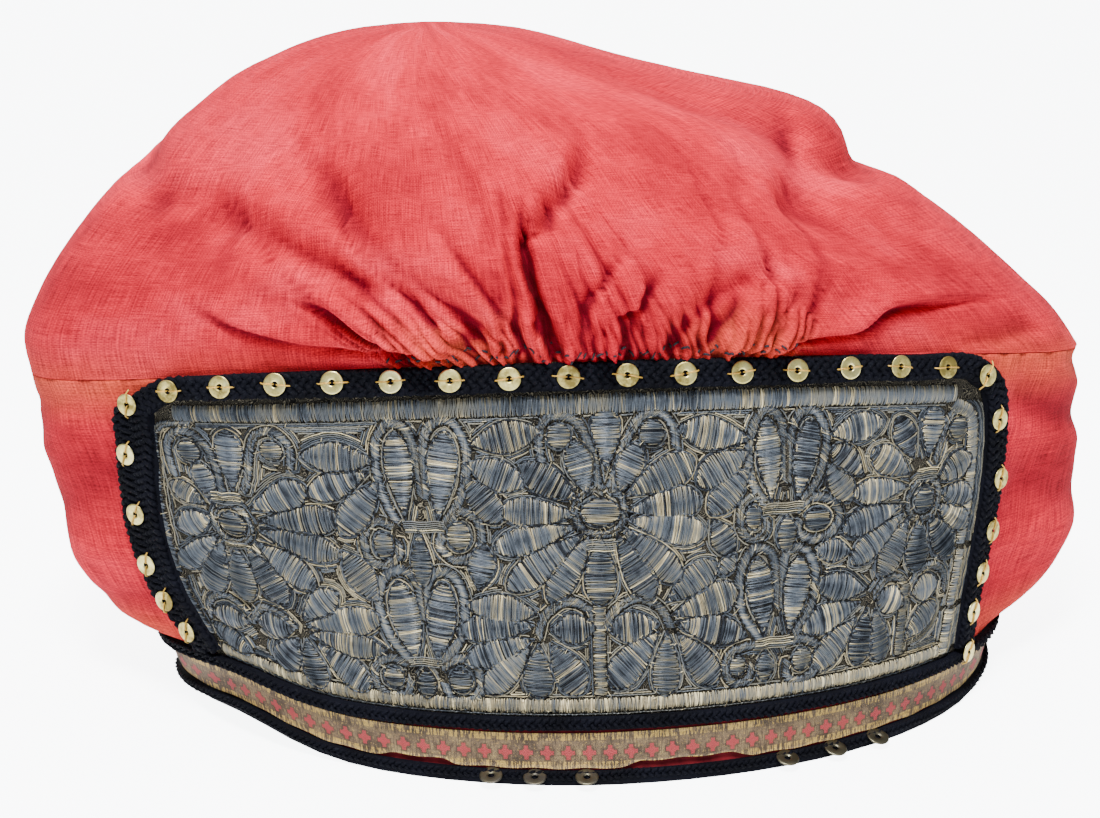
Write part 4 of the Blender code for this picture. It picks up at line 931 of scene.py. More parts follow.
# %% Bars
BARS = (
    # width, share of golden threads, places along and up
    (2.0, 0.12,
     ((-51.6, 60), (-54.6, 68), (-54.9, 78), (-51.4, 83.4), (-47.4, 81.6), (-45.4, 74.5), (-45.0, 66))),
    (2.0, 0.12,
     ((-38.8, 60), (-34.6, 69), (-33.9, 78), (-37.2, 83.6), (-42.0, 82.2), (-44.2, 75), (-44.4, 66))),
    (2.2, 0.10,
     ((-51.6, 26.6), (-56.6, 33), (-58.3, 41), (-56.0, 46.8), (-51.6, 48.6), (-47.9, 45.4), (-47.2, 37))),
    (2.2, 0.10,
     ((-44.0, 26.6), (-38.4, 33), (-36.8, 41), (-38.8, 47.0), (-43.0, 48.2), (-46.0, 44.6), (-46.5, 37))),
    (1.9, 0.12, ((37.2, 61.4), (33.4, 68), (32.9, 77), (36.0, 83.6), (40.2, 81.8), (41.6, 75), (41.7, 67))),
    (1.9, 0.12, ((46.6, 61.4), (51.0, 68), (52.3, 77), (49.2, 83.2), (44.6, 82.0), (42.9, 75), (42.7, 67))),
    (2.1, 0.10, ((36.4, 30), (31.6, 37), (30.9, 45), (34.0, 51.0), (38.8, 50.2), (40.6, 44), (40.7, 37))),
    (2.1, 0.10, ((45.8, 30), (50.4, 37), (51.0, 45), (47.8, 50.4), (43.2, 50.0), (41.9, 44), (41.8, 37))),
    (1.8, 0.10,
     ((-52.5, 59), (-57, 60), (-60.0, 56.5), (-59.4, 51), (-55.6, 49.6), (-52.0, 52), (-51.6, 55.5))),
    (1.9, 0.10,
     ((-40.6, 59), (-37, 62.6), (-32.6, 60.6), (-31.6, 56), (-34, 52), (-38.4, 51.2), (-41.6, 54),
      (-41.0, 57.4))),
    (1.8, 0.10,
     ((-52.6, 26), (-57, 27.2), (-61.2, 24.8), (-61.4, 20.4), (-57.6, 18.0), (-53.4, 19.2), (-52.2, 22.6))),
    (1.9, 0.10,
     ((-43.6, 26), (-39, 28.0), (-35.2, 26), (-34.4, 21.4), (-37.6, 17.9), (-42, 18.6), (-43.7, 22))),
    (1.7, 0.10, ((38.6, 61), (35, 63.6), (31.4, 61.6), (31, 56.4), (33.8, 53.6), (37.2, 55), (37.6, 58))),
    (2.0, 0.12,
     ((45.6, 60), (49, 62.6), (54, 61.8), (57, 58), (54.6, 53.6), (49.6, 52.6), (46, 54.6), (46.2, 57.4))),
    (1.7, 0.10, ((37.0, 28.6), (33, 28.6), (28.6, 27.2), (27.4, 23), (30, 20.2), (33.6, 21.2), (34.4, 24))),
    (1.9, 0.10,
     ((44.0, 28.6), (48, 28.9), (52.4, 26.6), (52.6, 21.6), (48.6, 19), (44.4, 20.2), (44.0, 24))),
    (1.9, 0.10,
     ((-15.6, 70.5), (-17.0, 78), (-15.4, 83), (-11.6, 84.0), (-7.8, 82.2), (-5.4, 77), (-4.0, 71.5),
      (-3.4, 66))),
    (1.9, 0.10,
     ((15.2, 75.5), (14.4, 80.6), (11.2, 84.0), (6.6, 82.8), (3.6, 78.4), (1.0, 72), (-1.2, 66))),
    (1.9, 0.10,
     ((-108.4, 69), (-108.2, 77), (-104.6, 81.4), (-99.6, 80.6), (-96.6, 76), (-95.6, 70), (-95.4, 64))),
    (1.8, 0.10,
     ((-76.2, 73), (-75.6, 78), (-79, 81.8), (-83.6, 80.8), (-86, 76), (-87.6, 70), (-89.4, 66))),
    (1.8, 0.10, ((95.6, 73), (95.4, 79), (91.8, 82), (87.4, 80.6), (85.6, 75), (84.2, 69))),
    (1.8, 0.14, ((-19.4, 33.4), (-17.4, 38.2), (-12.2, 41.4), (-7.2, 39.6), (-4.8, 35.4))),
    (1.8, 0.14, ((-3.4, 35.6), (0.6, 39.8), (5.8, 41.6), (10.8, 39), (13.4, 34.6))),
    (1.7, 0.10, ((-110.4, 27), (-108.2, 32.4), (-102.6, 34.6), (-97.4, 32.6), (-95.4, 29))),
    (1.7, 0.10, ((-95.0, 30), (-91.6, 34.2), (-86.6, 34.0), (-82.4, 31))),
    (1.7, 0.12, ((68.6, 36.6), (72.4, 40.4), (77, 39.6), (79.8, 35.4))),
    (1.7, 0.10, ((79.8, 36.0), (83, 40.8), (88, 41.6), (92.4, 38.4), (93, 34))),
    (2.8, 0.45, ((-4.3, 40), (-4.5, 20))),
    (2.6, 0.20, ((78.8, 38), (78.6, 20.4))),
    (1.5, 0.30,
     ((2.9, 61.8), (1.2, 65.6), (-3.2, 67.0), (-7.6, 65.6), (-9.3, 61.8), (-7.6, 58.0), (-3.2, 56.5),
      (1.2, 58.0), (2.9, 61.6))),
    (1.4, 0.25,
     ((-89.4, 56.6), (-91, 60.2), (-94.8, 61.6), (-98.6, 60.2), (-100, 56.6), (-98.6, 53), (-94.8, 51.6),
      (-91, 53), (-89.4, 56.4))),
    (1.4, 0.25,
     ((87.0, 59.4), (85.6, 63.0), (82, 64.6), (78.4, 63.0), (77, 59.4), (78.4, 55.8), (82, 54.4),
      (85.6, 55.8), (87.0, 59.2))),
    (1.6, 0.10, ((-115.0, 40), (-114.2, 60), (-111.6, 78), (-108, 83.4), (-100, 84))),
    (2.0, 0.10, ((-112.4, 22), (-114.6, 31), (-115.2, 38))),
    (3.2, 0.10, ((97.2, 46), (97.6, 58), (96.6, 70), (94.4, 80), (88, 83.8))),
    (3.6, 0.75, ((96.4, 16.4), (97.0, 28))),
    (3.0, 0.10, ((97.0, 29.5), (97.8, 44))),
    (2.8, 0.30, ((-108.6, 17.4), (-70, 17.4), (0, 17.4), (60, 17.4), (94, 17.4))),
)
ROLL = (4.2, 0.16, ((-103.5, 86.5), (-60, 86.5), (0, 86.5), (50, 86.6), (88, 86.2)))
WAISTS = (
    # a bundle of long threads: from along, to along, lowest, highest
    (-50.6, -39.8, 57.6, 60.2), (-52.4, -43.4, 25.8, 28.2), (36.2, 47.0, 59.2, 62.2),
    (34.6, 45.4, 27.6, 30.6), (-7.2, 0.8, 52.8, 55.6), (-99, -90.4, 62.0, 65.2),
    (-98.6, -90.6, 49.8, 51.6), (78.4, 86.0, 64.8, 67.4),
)


def even_line(places, step):
    """Evenly spaced places along a smooth line."""
    fine = bend_through(places, 30 * len(places))
    walked = walked_along(fine)
    at = np.linspace(0.0, walked[-1], max(3, int(round(walked[-1] / step)) + 1))
    return places_at(at, walked, fine)


def ring_line(line, step):
    """Evenly spaced places round a closed line."""
    return even_line(np.concatenate([line, line[:1]]), step)


def sideways_of(line):
    """The direction across a line at each of its places."""
    ahead = np.gradient(line, axis=0)
    return np.stack([-ahead[:, 1], ahead[:, 0]], axis=-1) / np.maximum(np.hypot(*ahead.T), 1e-9)[:, None]


def bar_outline(width, places):
    line = even_line(places, 1.0)
    side = sideways_of(line) * width / 2
    return np.concatenate([line + side, (line - side)[::-1]])


outlines = [petal_outline(row) for row in PETALS] + [boss_outline(row) for row in BOSSES]
outlines += [bar_outline(width, places) for width, _, places in BARS + (ROLL,)]
print(len(outlines), "outlines,", sum(len(line) for line in outlines), "places on them")

# %% [markdown]
# ## Relief
#
# A map of heights over the flat front holds the padding under every petal, boss and bar. The board's face
# follows it, and the ground between the petals stays low.

# %% Map of heights
MAP_STEP = 0.4
MAP_ALONG = np.arange(-123.0, 111.0, MAP_STEP)
MAP_UP = np.arange(13.0, 98.0, MAP_STEP)
relief = np.zeros((len(MAP_UP), len(MAP_ALONG)))
covered = np.zeros(relief.shape, bool)


def raise_pad(line, height_at):
    """Raises the map near an outline to a pad's own height."""
    low, high = line.min(axis=0) - 1.0, line.max(axis=0) + 1.0
    i0, i1 = np.searchsorted(MAP_UP, (low[1], high[1]))
    j0, j1 = np.searchsorted(MAP_ALONG, (low[0], high[0]))
    along, up = np.meshgrid(MAP_ALONG[j0:j1], MAP_UP[i0:i1])
    height = height_at(along, up)
    part = (slice(i0, i1), slice(j0, j1))
    relief[part] = np.maximum(relief[part], height)
    covered[part] |= height > 0


PETAL_PAD, BAR_PAD, BOSS_PAD = 1.15, 0.85, 0.95
FULL_PAD = 2.2


def petal_height(row, along, up):
    """A petal's pad is nearly flat on top and falls off at its sides."""
    foot, ahead, across, length = petal_frame(row)
    gap = np.stack([along, up], axis=-1) - foot
    share = np.clip(gap @ ahead / length, 0, 1)
    half = np.maximum(petal_half_width(share, *row[4:7]), 1e-6)
    inside = np.clip(1.0 - (gap @ across / half) ** 2, 0, 1)
    beyond = (gap @ ahead < 0) | (gap @ ahead > length)
    return np.where(beyond, 0.0, PETAL_PAD * inside**0.5 * np.clip(half / FULL_PAD, 0, 1) ** 0.8)


def boss_height(row, along, up):
    """A boss's pad is half of an egg."""
    inside = 1.0 - ((along - row[0]) / row[2]) ** 2 - ((up - row[1]) / row[3]) ** 2
    return BOSS_PAD * np.clip(inside, 0, 1) ** 0.5


def bar_height(spot, half, along, up):
    """A bar's pad is round at every place along it."""
    inside = 1.0 - ((along - spot[0]) ** 2 + (up - spot[1]) ** 2) / half**2
    return BAR_PAD * np.clip(inside, 0, 1) ** 0.5


for row in PETALS:
    raise_pad(petal_outline(row), lambda along, up: petal_height(row, along, up))
for row in BOSSES:
    raise_pad(boss_outline(row), lambda along, up: boss_height(row, along, up))
for width, _, places in BARS + (ROLL,):
    half = width / 2
    for spot in even_line(places, 0.5):
        square = spot + [[-half, -half], [half, half]]
        raise_pad(square, lambda along, up: bar_height(spot, half, along, up))
raised = round(100 * float(covered.mean()))
print("raised over", raised, "% of the map, at most", round(float(relief.max()), 2), "mm")


# %% The board under the threads
def read_map(field, along, up):
    """The value of a map between its points."""
    x = np.clip((np.asarray(along) - MAP_ALONG[0]) / MAP_STEP, 0, len(MAP_ALONG) - 1.001)
    y = np.clip((np.asarray(up) - MAP_UP[0]) / MAP_STEP, 0, len(MAP_UP) - 1.001)
    j, i = x.astype(int), y.astype(int)
    x, y = x - j, y - i
    low = field[i, j] * (1 - x) + field[i, j + 1] * x
    high = field[i + 1, j] * (1 - x) + field[i + 1, j + 1] * x
    return low * (1 - y) + high * y


BOARD_THICKNESS, UNDER_THREADS = 2.2, 0.12


def panel_board(finish):
    along, up, _, _ = sheet_grid(104, 270, EDGE_LEFT, EDGE_RIGHT)
    outer = wall(along, up, read_map(relief, along, up) - UNDER_THREADS)
    inner = wall(along, up, -BOARD_THICKNESS)
    tint = np.clip(0.10 + 0.25 * read_map(relief, along, up), 0, 1).ravel()
    marks = {"tint": np.concatenate([tint, tint * 0])}
    return closed_sheet("panel_board", outer, inner, (along, up), finish, marks)


print("a petal's padding is", round(float(read_map(relief, 12.2, 62.7)), 2), "mm high at its middle")


# %% [markdown]
# ## Metal thread
#
# The thread is a strip of silvered metal wound on a core. Tarnish has turned it slate blue where it lies
# smooth, and grey brown where it is couched down; a few threads were golden and still look so.
# One finish serves all of it. A number called tint at each place says which of these the thread is.

# %% Finish of the metal thread
twist, begin, end = shader_tree(
    "wound strip", [("Run", FLOAT, 0.0), ("Lay", VECTOR, (1, 0, 0)), ("Turns per mm", FLOAT, 1.4)],
    [("Height", FLOAT)],
)
angle = times(twist, times(twist, begin.outputs["Run"], begin.outputs["Turns per mm"]), 2.0 / MM * math.pi)
split = add(twist, "ShaderNodeSeparateXYZ", n0=begin.outputs["Lay"])
first = times(twist, split.outputs[0], reckon(twist, "COSINE", angle))
second = times(twist, split.outputs[1], reckon(twist, "SINE", angle))
twist.links.new(reckon(twist, "SUBTRACT", first, second), end.inputs["Height"])


def emboss_twist(tree, shader, turns, strength, depth):
    """Lets a thread look wound, with so many turns in each millimetre."""
    run, lay = marked(tree, "run"), marked(tree, "lay", "Vector")
    wound = use_group(tree, twist, Run=run, Lay=lay, Turns_per_mm=turns)
    emboss(tree, shader, strength, depth, wound.outputs["Height"])


def metal_thread(name, turns, depth):
    made, tree, shader = finish_of(name, Metallic=0.30, Roughness=0.46, Specular_IOR_Level=0.35)
    place = solid_place(tree)
    tarnish, patches = noise(tree, place, 260.0, 4.0, 0.65), noise(tree, place, 38.0, 3.0)
    shifted = marked(tree, "tint")
    for uneven, share, clamp in ((tarnish, 0.30, False), (patches, 0.25, True)):
        about_zero = reckon(tree, "SUBTRACT", uneven, 0.5)
        shifted = reckon(tree, "ADD", shifted, times(tree, about_zero, share), clamp)
    colour = ramp(tree, shifted, (
        (0.0, (0.002, 0.002, 0.002, 1)), (0.14, (0.014, 0.018, 0.027, 1)), (0.32, (0.115, 0.138, 0.168, 1)),
        (0.50, (0.240, 0.232, 0.185, 1)), (0.70, (0.45, 0.38, 0.230, 1)), (1.0, (0.92, 0.82, 0.52, 1)),
    ))
    tree.links.new(colour, shader.inputs["Base Color"])
    emboss_twist(tree, shader, turns, 0.6, depth)
    tree.links.new(scaled(tree, tarnish, 0.35, 0.30), shader.inputs["Roughness"])
    return made


SATIN = metal_thread("satin metal thread", turns=0.5, depth=0.00004)
COUCHED = metal_thread("couched metal cord", turns=1.15, depth=0.00014)
print(SATIN.name, "and", COUCHED.name, "are ready")


def couched_ground():
    """What shows between the cords: more cords, seen as short dull lines that turn this way and that."""
    made, tree, shader = finish_of("couched ground", Roughness=0.7, Specular_IOR_Level=0.15)
    flat = flat_place(tree)
    wobble = add(tree, "ShaderNodeTexNoise", Vector=flat, Scale=0.16, Detail=2.0)
    bent = add(tree, "ShaderNodeVectorMath", dict(operation="MULTIPLY_ADD"),
               n0=wobble.outputs["Color"], n1=(26, 26, 0), n2=flat)
    waves = add(tree, "ShaderNodeTexWave", Vector=bent.outputs[0], Scale=0.42, Distortion=1.5, Detail=2.0)
    cords = waves.outputs["Fac"]
    mixed = times(tree, cords, times(tree, noise(tree, flat, 2.4, 3.0, 0.7), 1.7), clamp=True)
    colour = ramp(tree, mixed, (
        (0.10, (0.003, 0.0025, 0.002, 1)), (0.50, (0.014, 0.013, 0.010, 1)),
        (0.80, (0.090, 0.080, 0.060, 1)), (1.0, (0.26, 0.23, 0.16, 1)),
    ))
    tree.links.new(colour, shader.inputs["Base Color"])
    emboss(tree, shader, 0.8, 0.00025, cords)
    return made


GROUND = couched_ground()
board = panel_board(GROUND)
print("board has", len(board.data.polygons), "faces")

# %% [markdown]
# ## Laying the threads
#
# Each thread starts as a line of a few places. A tree turns the lines into round threads: it makes
# curves of them, notes how far along the thread each place is and how far round, and sweeps a small
# circle along.

# %% Tree for threads
INTEGER = "NodeSocketInt"
thread_tree, begin, end = shape_tree(
    "thread from a line", [("Radius", FLOAT, 0.0002), ("Sides", INTEGER, 3), ("Finish", MATERIAL, None)],
)


def note(shape, label, kind, value):
    """Notes a value under a label at the places of a shape."""
    return add(thread_tree, "GeometryNodeStoreNamedAttribute", dict(data_type=kind, domain="POINT"),
               Geometry=shape, Name=label, Value=value)


lines = add(thread_tree, "GeometryNodeMeshToCurve", Mesh=begin.outputs["Geometry"])
measure = add(thread_tree, "GeometryNodeSplineParameter")
noted = note(lines.outputs[0], "run", "FLOAT", measure.outputs["Length"])
circle = add(thread_tree, "GeometryNodeCurvePrimitiveCircle",
             Radius=begin.outputs["Radius"], Resolution=begin.outputs["Sides"])
round_share = add(thread_tree, "GeometryNodeSplineParameter")
round_angle = times(thread_tree, round_share.outputs["Factor"], 2 * math.pi)
direction = add(thread_tree, "ShaderNodeCombineXYZ",
                X=reckon(thread_tree, "COSINE", round_angle), Y=reckon(thread_tree, "SINE", round_angle))
profile = note(circle.outputs[0], "lay", "FLOAT_VECTOR", direction.outputs[0])
swept = add(thread_tree, "GeometryNodeCurveToMesh",
            Curve=noted.outputs[0], Profile_Curve=profile.outputs[0], Fill_Caps=True)
smooth = add(thread_tree, "GeometryNodeSetShadeSmooth", Geometry=swept.outputs[0])
close_tree(thread_tree, end, smooth.outputs[0], begin.outputs["Finish"])


def threads(name, strands, radius, sides, finish):
    """One joined mesh of threads. Each strand is its places in millimetres and its tint at each of them."""
    sizes = np.array([len(line) for line, _ in strands])
    first = np.concatenate([[0], np.cumsum(sizes)[:-1]])
    edges = []
    for start, size in zip(first, sizes):
        index = np.arange(start, start + size - 1)
        edges.append(np.stack([index, index + 1], axis=-1))
    edges = np.concatenate(edges).tolist()
    points = np.concatenate([line for line, _ in strands])
    tint = np.concatenate([np.broadcast_to(shade, len(line)) for line, shade in strands])
    obj = new_object(name, points, (), edges=edges, marks={"tint": tint})
    return grow(obj, thread_tree, Radius=radius * MM, Sides=sides, Finish=finish)


print(thread_tree.name, "has", len(thread_tree.nodes), "nodes")

# %% [markdown]
# The threads of a petal lie straight across it and end in an uneven edge, where they are paler because
# they bend down and are caught by the couching. On a narrow bar they are wrapped aslant, and their ends
# are darker as painted shade where they turn down the sides of the bar. Golden threads come in bunches.

# %% Threads across petals, bosses and bars
PITCH, SATIN_RADIUS = 0.33, 0.165
BAR_TONE, FOOT_BAR_TONE, FOOT_BAR_BELOW = 0.40, 0.54, 20.0
chance = np.random.default_rng(5)


def bunches(count, share_of_gold):
    """Golden bunches along a row of threads: runs of 1 to 3 threads."""
    golden = np.zeros(count)
    while golden.sum() < share_of_gold * count * 0.45:
        start = chance.integers(0, count)
        golden[start : start + chance.integers(1, 4)] = 1.0
        if share_of_gold < 0.04:
            break
    return golden


ACROSS = np.array([-1.0, -0.72, 0.0, 0.72, 1.0])


def satin_threads(centres, sideways, halves, gold, pad, tone, lean=0.16):
    """Threads side by side over a pad, each with five places; those of a narrow bar lean over 0.5."""
    made, wrapped = [], lean > 0.5
    golden = bunches(len(centres), gold)
    for centre, side, half, gilt in zip(centres, sideways, halves, golden):
        if half < 0.30:
            continue
        ends = half + chance.uniform(-0.22, 0.24, 2)
        reach = np.where(ACROSS < 0, ends[0], ends[1]) * ACROSS
        slant = np.array([side[1], -side[0]]) * (lean if wrapped else chance.uniform(-lean, lean))
        flat = centre + side * reach[:, None] + slant * ACROSS[:, None]
        over = np.clip(1 - (ACROSS * 0.97) ** 2, 0, 1) ** 0.5
        lift = pad * over * np.clip(half / FULL_PAD, 0.25, 1) ** 0.8
        # On a wrapped bar the darker ends are painted shade where the threads turn down its sides.
        end_tone = -chance.uniform(0.1, 0.4) if wrapped else chance.uniform(-0.12, 0.46)
        end_tones = end_tone * np.abs(ACROSS) ** 2.5
        shade = tone + chance.normal(0, 0.085) + gilt * chance.uniform(0.05, 0.50) + end_tones
        made.append((wall(flat[:, 0], flat[:, 1], lift + 0.10), np.clip(shade, 0.02, 1.0)))
    return made


def petal_threads(row):
    """Threads across a petal, from its foot to its tip."""
    foot, ahead, across, length = petal_frame(row)
    count = int(length / PITCH)
    share = (np.arange(count) + 0.5) / count
    halves = petal_half_width(share, *row[4:7])
    centres = foot + ahead * (share * length)[:, None]
    sideways = np.tile(across, (count, 1))
    return satin_threads(centres, sideways, halves, row[7], PETAL_PAD, chance.uniform(0.19, 0.33))


def boss_threads(row):
    """Threads across a boss, one above the other."""
    ups = np.arange(row[1] - row[3] + 0.2, row[1] + row[3], PITCH)
    halves = row[2] * np.sqrt(np.clip(1 - ((ups - row[1]) / row[3]) ** 2, 0, 1))
    centres = np.stack([np.full(len(ups), row[0]), ups], axis=-1)
    sideways = np.tile((1.0, 0.0), (len(ups), 1))
    return satin_threads(centres, sideways, halves, 0.15, BOSS_PAD, chance.uniform(0.24, 0.40))


def bar_threads(width, gold, places, tone):
    """Threads wrapped round a bar; a wide bar's lie nearly straight across."""
    line = even_line(places, PITCH)
    halves, lean = np.full(len(line), width / 2), 0.7 if width < 2.5 else 0.2
    return satin_threads(line, sideways_of(line), halves, gold, BAR_PAD * 1.15, tone, lean)


petal_strands = [strand for row in PETALS for strand in petal_threads(row)]
petal_work = threads("petal_threads", petal_strands, SATIN_RADIUS, 3, SATIN)
print(len(petal_strands), "threads on petals,", len(petal_work.data.polygons), "faces")
bar_strands = [strand for row in BOSSES for strand in boss_threads(row)]
for width, gold, places in BARS:
    at_foot = max(up for _, up in places) < FOOT_BAR_BELOW
    bar_strands += bar_threads(width, gold, places, FOOT_BAR_TONE if at_foot else BAR_TONE)
roll_tones = np.interp(np.arange(800), np.arange(0, 801, 14), chance.uniform(0.16, 0.42, 58))
for index, (line, shade) in enumerate(bar_threads(*ROLL, 0.0)):
    bar_strands.append((line, np.clip(shade + roll_tones[index], 0.02, 1)))
for start, stop, low, high in WAISTS:
    for up in np.arange(low, high, 0.5):
        along = np.linspace(start + chance.uniform(0, 1), stop - chance.uniform(0, 1), 6)
        line = wall(along, up + 0.15 * np.sin(along), read_map(relief, along, up) + 0.35)
        bar_strands.append((line, chance.choice([0.40, 0.55, 0.85])))
bar_work = threads("bar_threads", bar_strands, SATIN_RADIUS, 3, SATIN)
print(len(bar_strands), "threads on bars and bosses,", len(bar_work.data.polygons), "faces")

# %% [markdown]
# ## Couched cords
#
# Every petal is edged with a plied cord. The ground between is filled with finer cords that repeat the
# petals' outlines further and further out, until they meet those of the next petal. A cord is cut where
# it would come nearer to another outline than to its own.

# %% Outline cords and filling cords
FIRST_ECHO, LAST_ECHO, ECHO_STEP = 0.66, 7.0, 0.47
outline_spots = np.concatenate([ring_line(line, 0.5) for line in outlines])
marks_on_outlines = KDTree(len(outline_spots))
for index, spot in enumerate(outline_spots):
    marks_on_outlines.insert((spot[0], spot[1], 0.0), index)
marks_on_outlines.balance()


def in_panel(flat):
    """Which places lie within the frame, below the roll and above the base braid."""
    along, up = flat.T
    left = frame_middle(np.clip(up, 15, 90), FRAME_LEFT) + 2.6
    right = frame_middle(np.clip(up, 15, 90), FRAME_RIGHT) - 2.6
    return (along > left) & (along < right) & (up > 15.2) & (up < 84.4)


def runs_of(keep, shortest):
    """Start and stop of each run of kept places that is long enough."""
    change = np.flatnonzero(np.diff(np.concatenate([[0], keep.astype(int), [0]])))
    return [(a, b) for a, b in zip(change[::2], change[1::2]) if b - a >= shortest]


def echo_strands(line, distance, step):
    """The line moved outwards, without what lies nearer to another outline or on a pad."""
    ring = ring_line(line, step)
    turned = np.sum(ring[:-1, 0] * ring[1:, 1] - ring[1:, 0] * ring[:-1, 1])
    flat = ring - sideways_of(ring) * distance * np.sign(turned)
    nearest = np.array([marks_on_outlines.find((p[0], p[1], 0.0))[2] for p in flat])
    keep = (nearest > distance - 0.16) & in_panel(flat) & (read_map(relief, flat[:, 0], flat[:, 1]) < 0.25)
    return [flat[a:b] for a, b in runs_of(keep, 3)]


cord_strands = []
for row in PETALS + BOSSES:
    line = petal_outline(row, 0.28) if len(row) == 8 else boss_outline(row, 0.25)
    flat = ring_line(line, 0.6)
    low = read_map(relief, flat[:, 0], flat[:, 1])
    keep = in_panel(flat) & (low < 0.95)
    # Near-black tones: partly dark metal, partly painted shade of the narrow gap round each petal.
    tone = chance.choice([0.05, 0.09, 0.14])
    for a, b in runs_of(keep, 4):
        along, up = flat[a:b].T
        held = np.where(np.arange(b - a) % 3 == 0, 0.20, -0.02) + chance.normal(0, 0.07, b - a)
        cord = wall(along, up, np.minimum(low[a:b], 0.55) + 0.28)
        cord_strands.append((cord, np.clip(tone + held, 0.02, 0.85)))
outline_work = threads("outline_cords", cord_strands, 0.20, 5, COUCHED)
print(len(cord_strands), "outline cords,", len(outline_work.data.polygons), "faces")

fill_strands = []
for line in outlines:
    for distance in np.arange(FIRST_ECHO, LAST_ECHO, ECHO_STEP):
        for flat in echo_strands(line, distance, 0.95):
            tone = 0.43 + chance.normal(0, 0.18)
            flat = flat + chance.normal(0, 0.05, flat.shape)
            lift = 0.10 + 0.12 * np.sin(flat[:, 0] * 2.3 + flat[:, 1])
            fill_strands.append((wall(flat[:, 0], flat[:, 1], lift), np.clip(tone, 0.2, 0.9)))
fill_work = threads("filling_cords", fill_strands, 0.19, 3, COUCHED)
print(len(fill_strands), "filling cords,", len(fill_work.data.polygons), "faces")

# %% [markdown]
# The cords are held down by short stitches of thinner thread that cross them. Old ones are pale and
# loose, and they are what makes the ground look broken up.

# %% Short stitches over the ground
STITCHES_TRIED = 4600
short_strands = []
for index in chance.choice(len(outline_spots), STITCHES_TRIED, replace=False):
    spot = outline_spots[index] + chance.normal(0, 0.9, 2)
    if read_map(relief, *spot) > 0.55 or not in_panel(spot[None])[0]:
        continue
    turn = chance.uniform(0, np.pi)
    way = np.array([np.cos(turn), np.sin(turn)]) * chance.uniform(0.35, 0.80)
    flat = spot + way * np.array([-1.0, 0.0, 1.0])[:, None]
    lift = read_map(relief, *flat.T) + (0.12, 0.42, 0.12)
    stitch = wall(flat[:, 0], flat[:, 1], lift)
    short_strands.append((stitch, chance.choice([0.02, 0.08, 0.35, 0.60, 0.82])))
short_work = threads("short_stitches", short_strands, 0.10, 3, COUCHED)
print(len(short_strands), "short stitches,", len(short_work.data.polygons), "faces")

# %% [markdown]
# ## Navy braids
#
# The braids are flat plaits of soft wool. In a plait every strand swings from one edge to the other and
# passes over and under the rest, so one swinging line, started at different moments, makes all the
# strands. The solids stay as the core of each braid and the strands lie over them. The wool that the
# cap stands on is pressed flat on the table.

# %% Navy wool
def navy_wool():
    made, tree, shader = finish_of("navy wool", Roughness=0.75, Specular_IOR_Level=0.10)
    place = solid_place(tree)
    worn, lint = noise(tree, place, 90.0, 4.0), noise(tree, place, 700.0, 2.0)
    colour = ramp(tree, worn, ((0.35, (0.0008, 0.0010, 0.0030, 1)), (0.70, (0.0030, 0.0036, 0.0085, 1))))
    dusty = times(tree, reckon(tree, "GREATER_THAN", lint, 0.69), 0.25)
    tree.links.new(blend_colour(tree, dusty, colour, (0.02, 0.024, 0.034, 1)), shader.inputs["Base Color"])
    emboss_twist(tree, shader, 0.9, 0.7, 0.00015)
    return made


NAVY = navy_wool()
for node in ("frame_braid", "base_braid", "rim_braid"):
    dress_solid(node, NAVY)
print(NAVY.name, "is on the three cores")


# %% Plaits
def plait(line, out, width, thickness, strands, swing):
    """Strands of a flat plait along a line on the wall; swing is the length of a full swing."""
    walked = walked_along(line)
    at = np.arange(0.0, walked[-1], swing / 14.0)
    middle = places_at(at, walked, line)
    side = sideways_of(middle)
    loose = np.random.default_rng(len(line) + strands)
    turns = np.arange(0, walked[-1] + 9, 8.0)
    sway = np.interp(at, turns, loose.normal(0, 0.12, len(turns)))
    made = []
    for number in range(strands):
        turn = 2 * np.pi * (at / swing + number / strands)
        across = width / 2 * np.sin(turn) + sway
        lift = thickness / 2 * np.sin((strands - 1) * turn)
        flat = middle + side * across[:, None]
        made.append((wall(flat[:, 0], flat[:, 1], out + lift), 0.2))
    return made


RIM_MIDDLE, BASE_MIDDLE = 1.55, 13.3
RIM_WOOL, RIM_PRESSED = (-1.1, 0.6, 90.0), (0.05, 0.6, 90.0)
frame_path = np.array(FRAME_LEFT + FRAME_TOP + FRAME_RIGHT)
steps = walked_along(frame_path)
at = np.linspace(0, steps[-1], 420)
frame_line = np.stack([through(steps, frame_path[:, k], at) for k in (0, 1)], axis=-1)
plaited = plait(frame_line, out=1.75, width=5.3, thickness=0.75, strands=5, swing=11.5)
frame_plait = threads("frame_plait", plaited, 0.78, 5, NAVY)
around = np.linspace(-ROUND, ROUND, 900)
base_line = np.stack([around, np.full(900, BASE_MIDDLE)], axis=-1)
plaited = plait(base_line, out=1.70, width=2.1, thickness=0.6, strands=3, swing=5.6)
base_plait = threads("base_plait", plaited, 0.54, 4, NAVY)
rim_line = np.stack([around, np.full(900, RIM_MIDDLE) + 0.15 * np.sin(around * 0.16)], axis=-1)
plaited = plait(rim_line, out=2.0, width=1.4, thickness=0.6, strands=3, swing=5.2)
rim_plait = threads("rim_plait", plaited, 0.50, 4, NAVY)
for corner in rim_plait.data.vertices:
    corner.co.z = MM * np.interp(corner.co.z / MM, RIM_WOOL, RIM_PRESSED)
print("plaits:", *[len(p.data.polygons) for p in (frame_plait, base_plait, rim_plait)], "faces")

# %% [markdown]
# ## The ribbon
#
# A woven ribbon of tarnished gold thread goes round the rim. It has a row of small red crosses, nearly
# five millimetres apart. They are woven in, so they are part of its finish and follow its flat map.

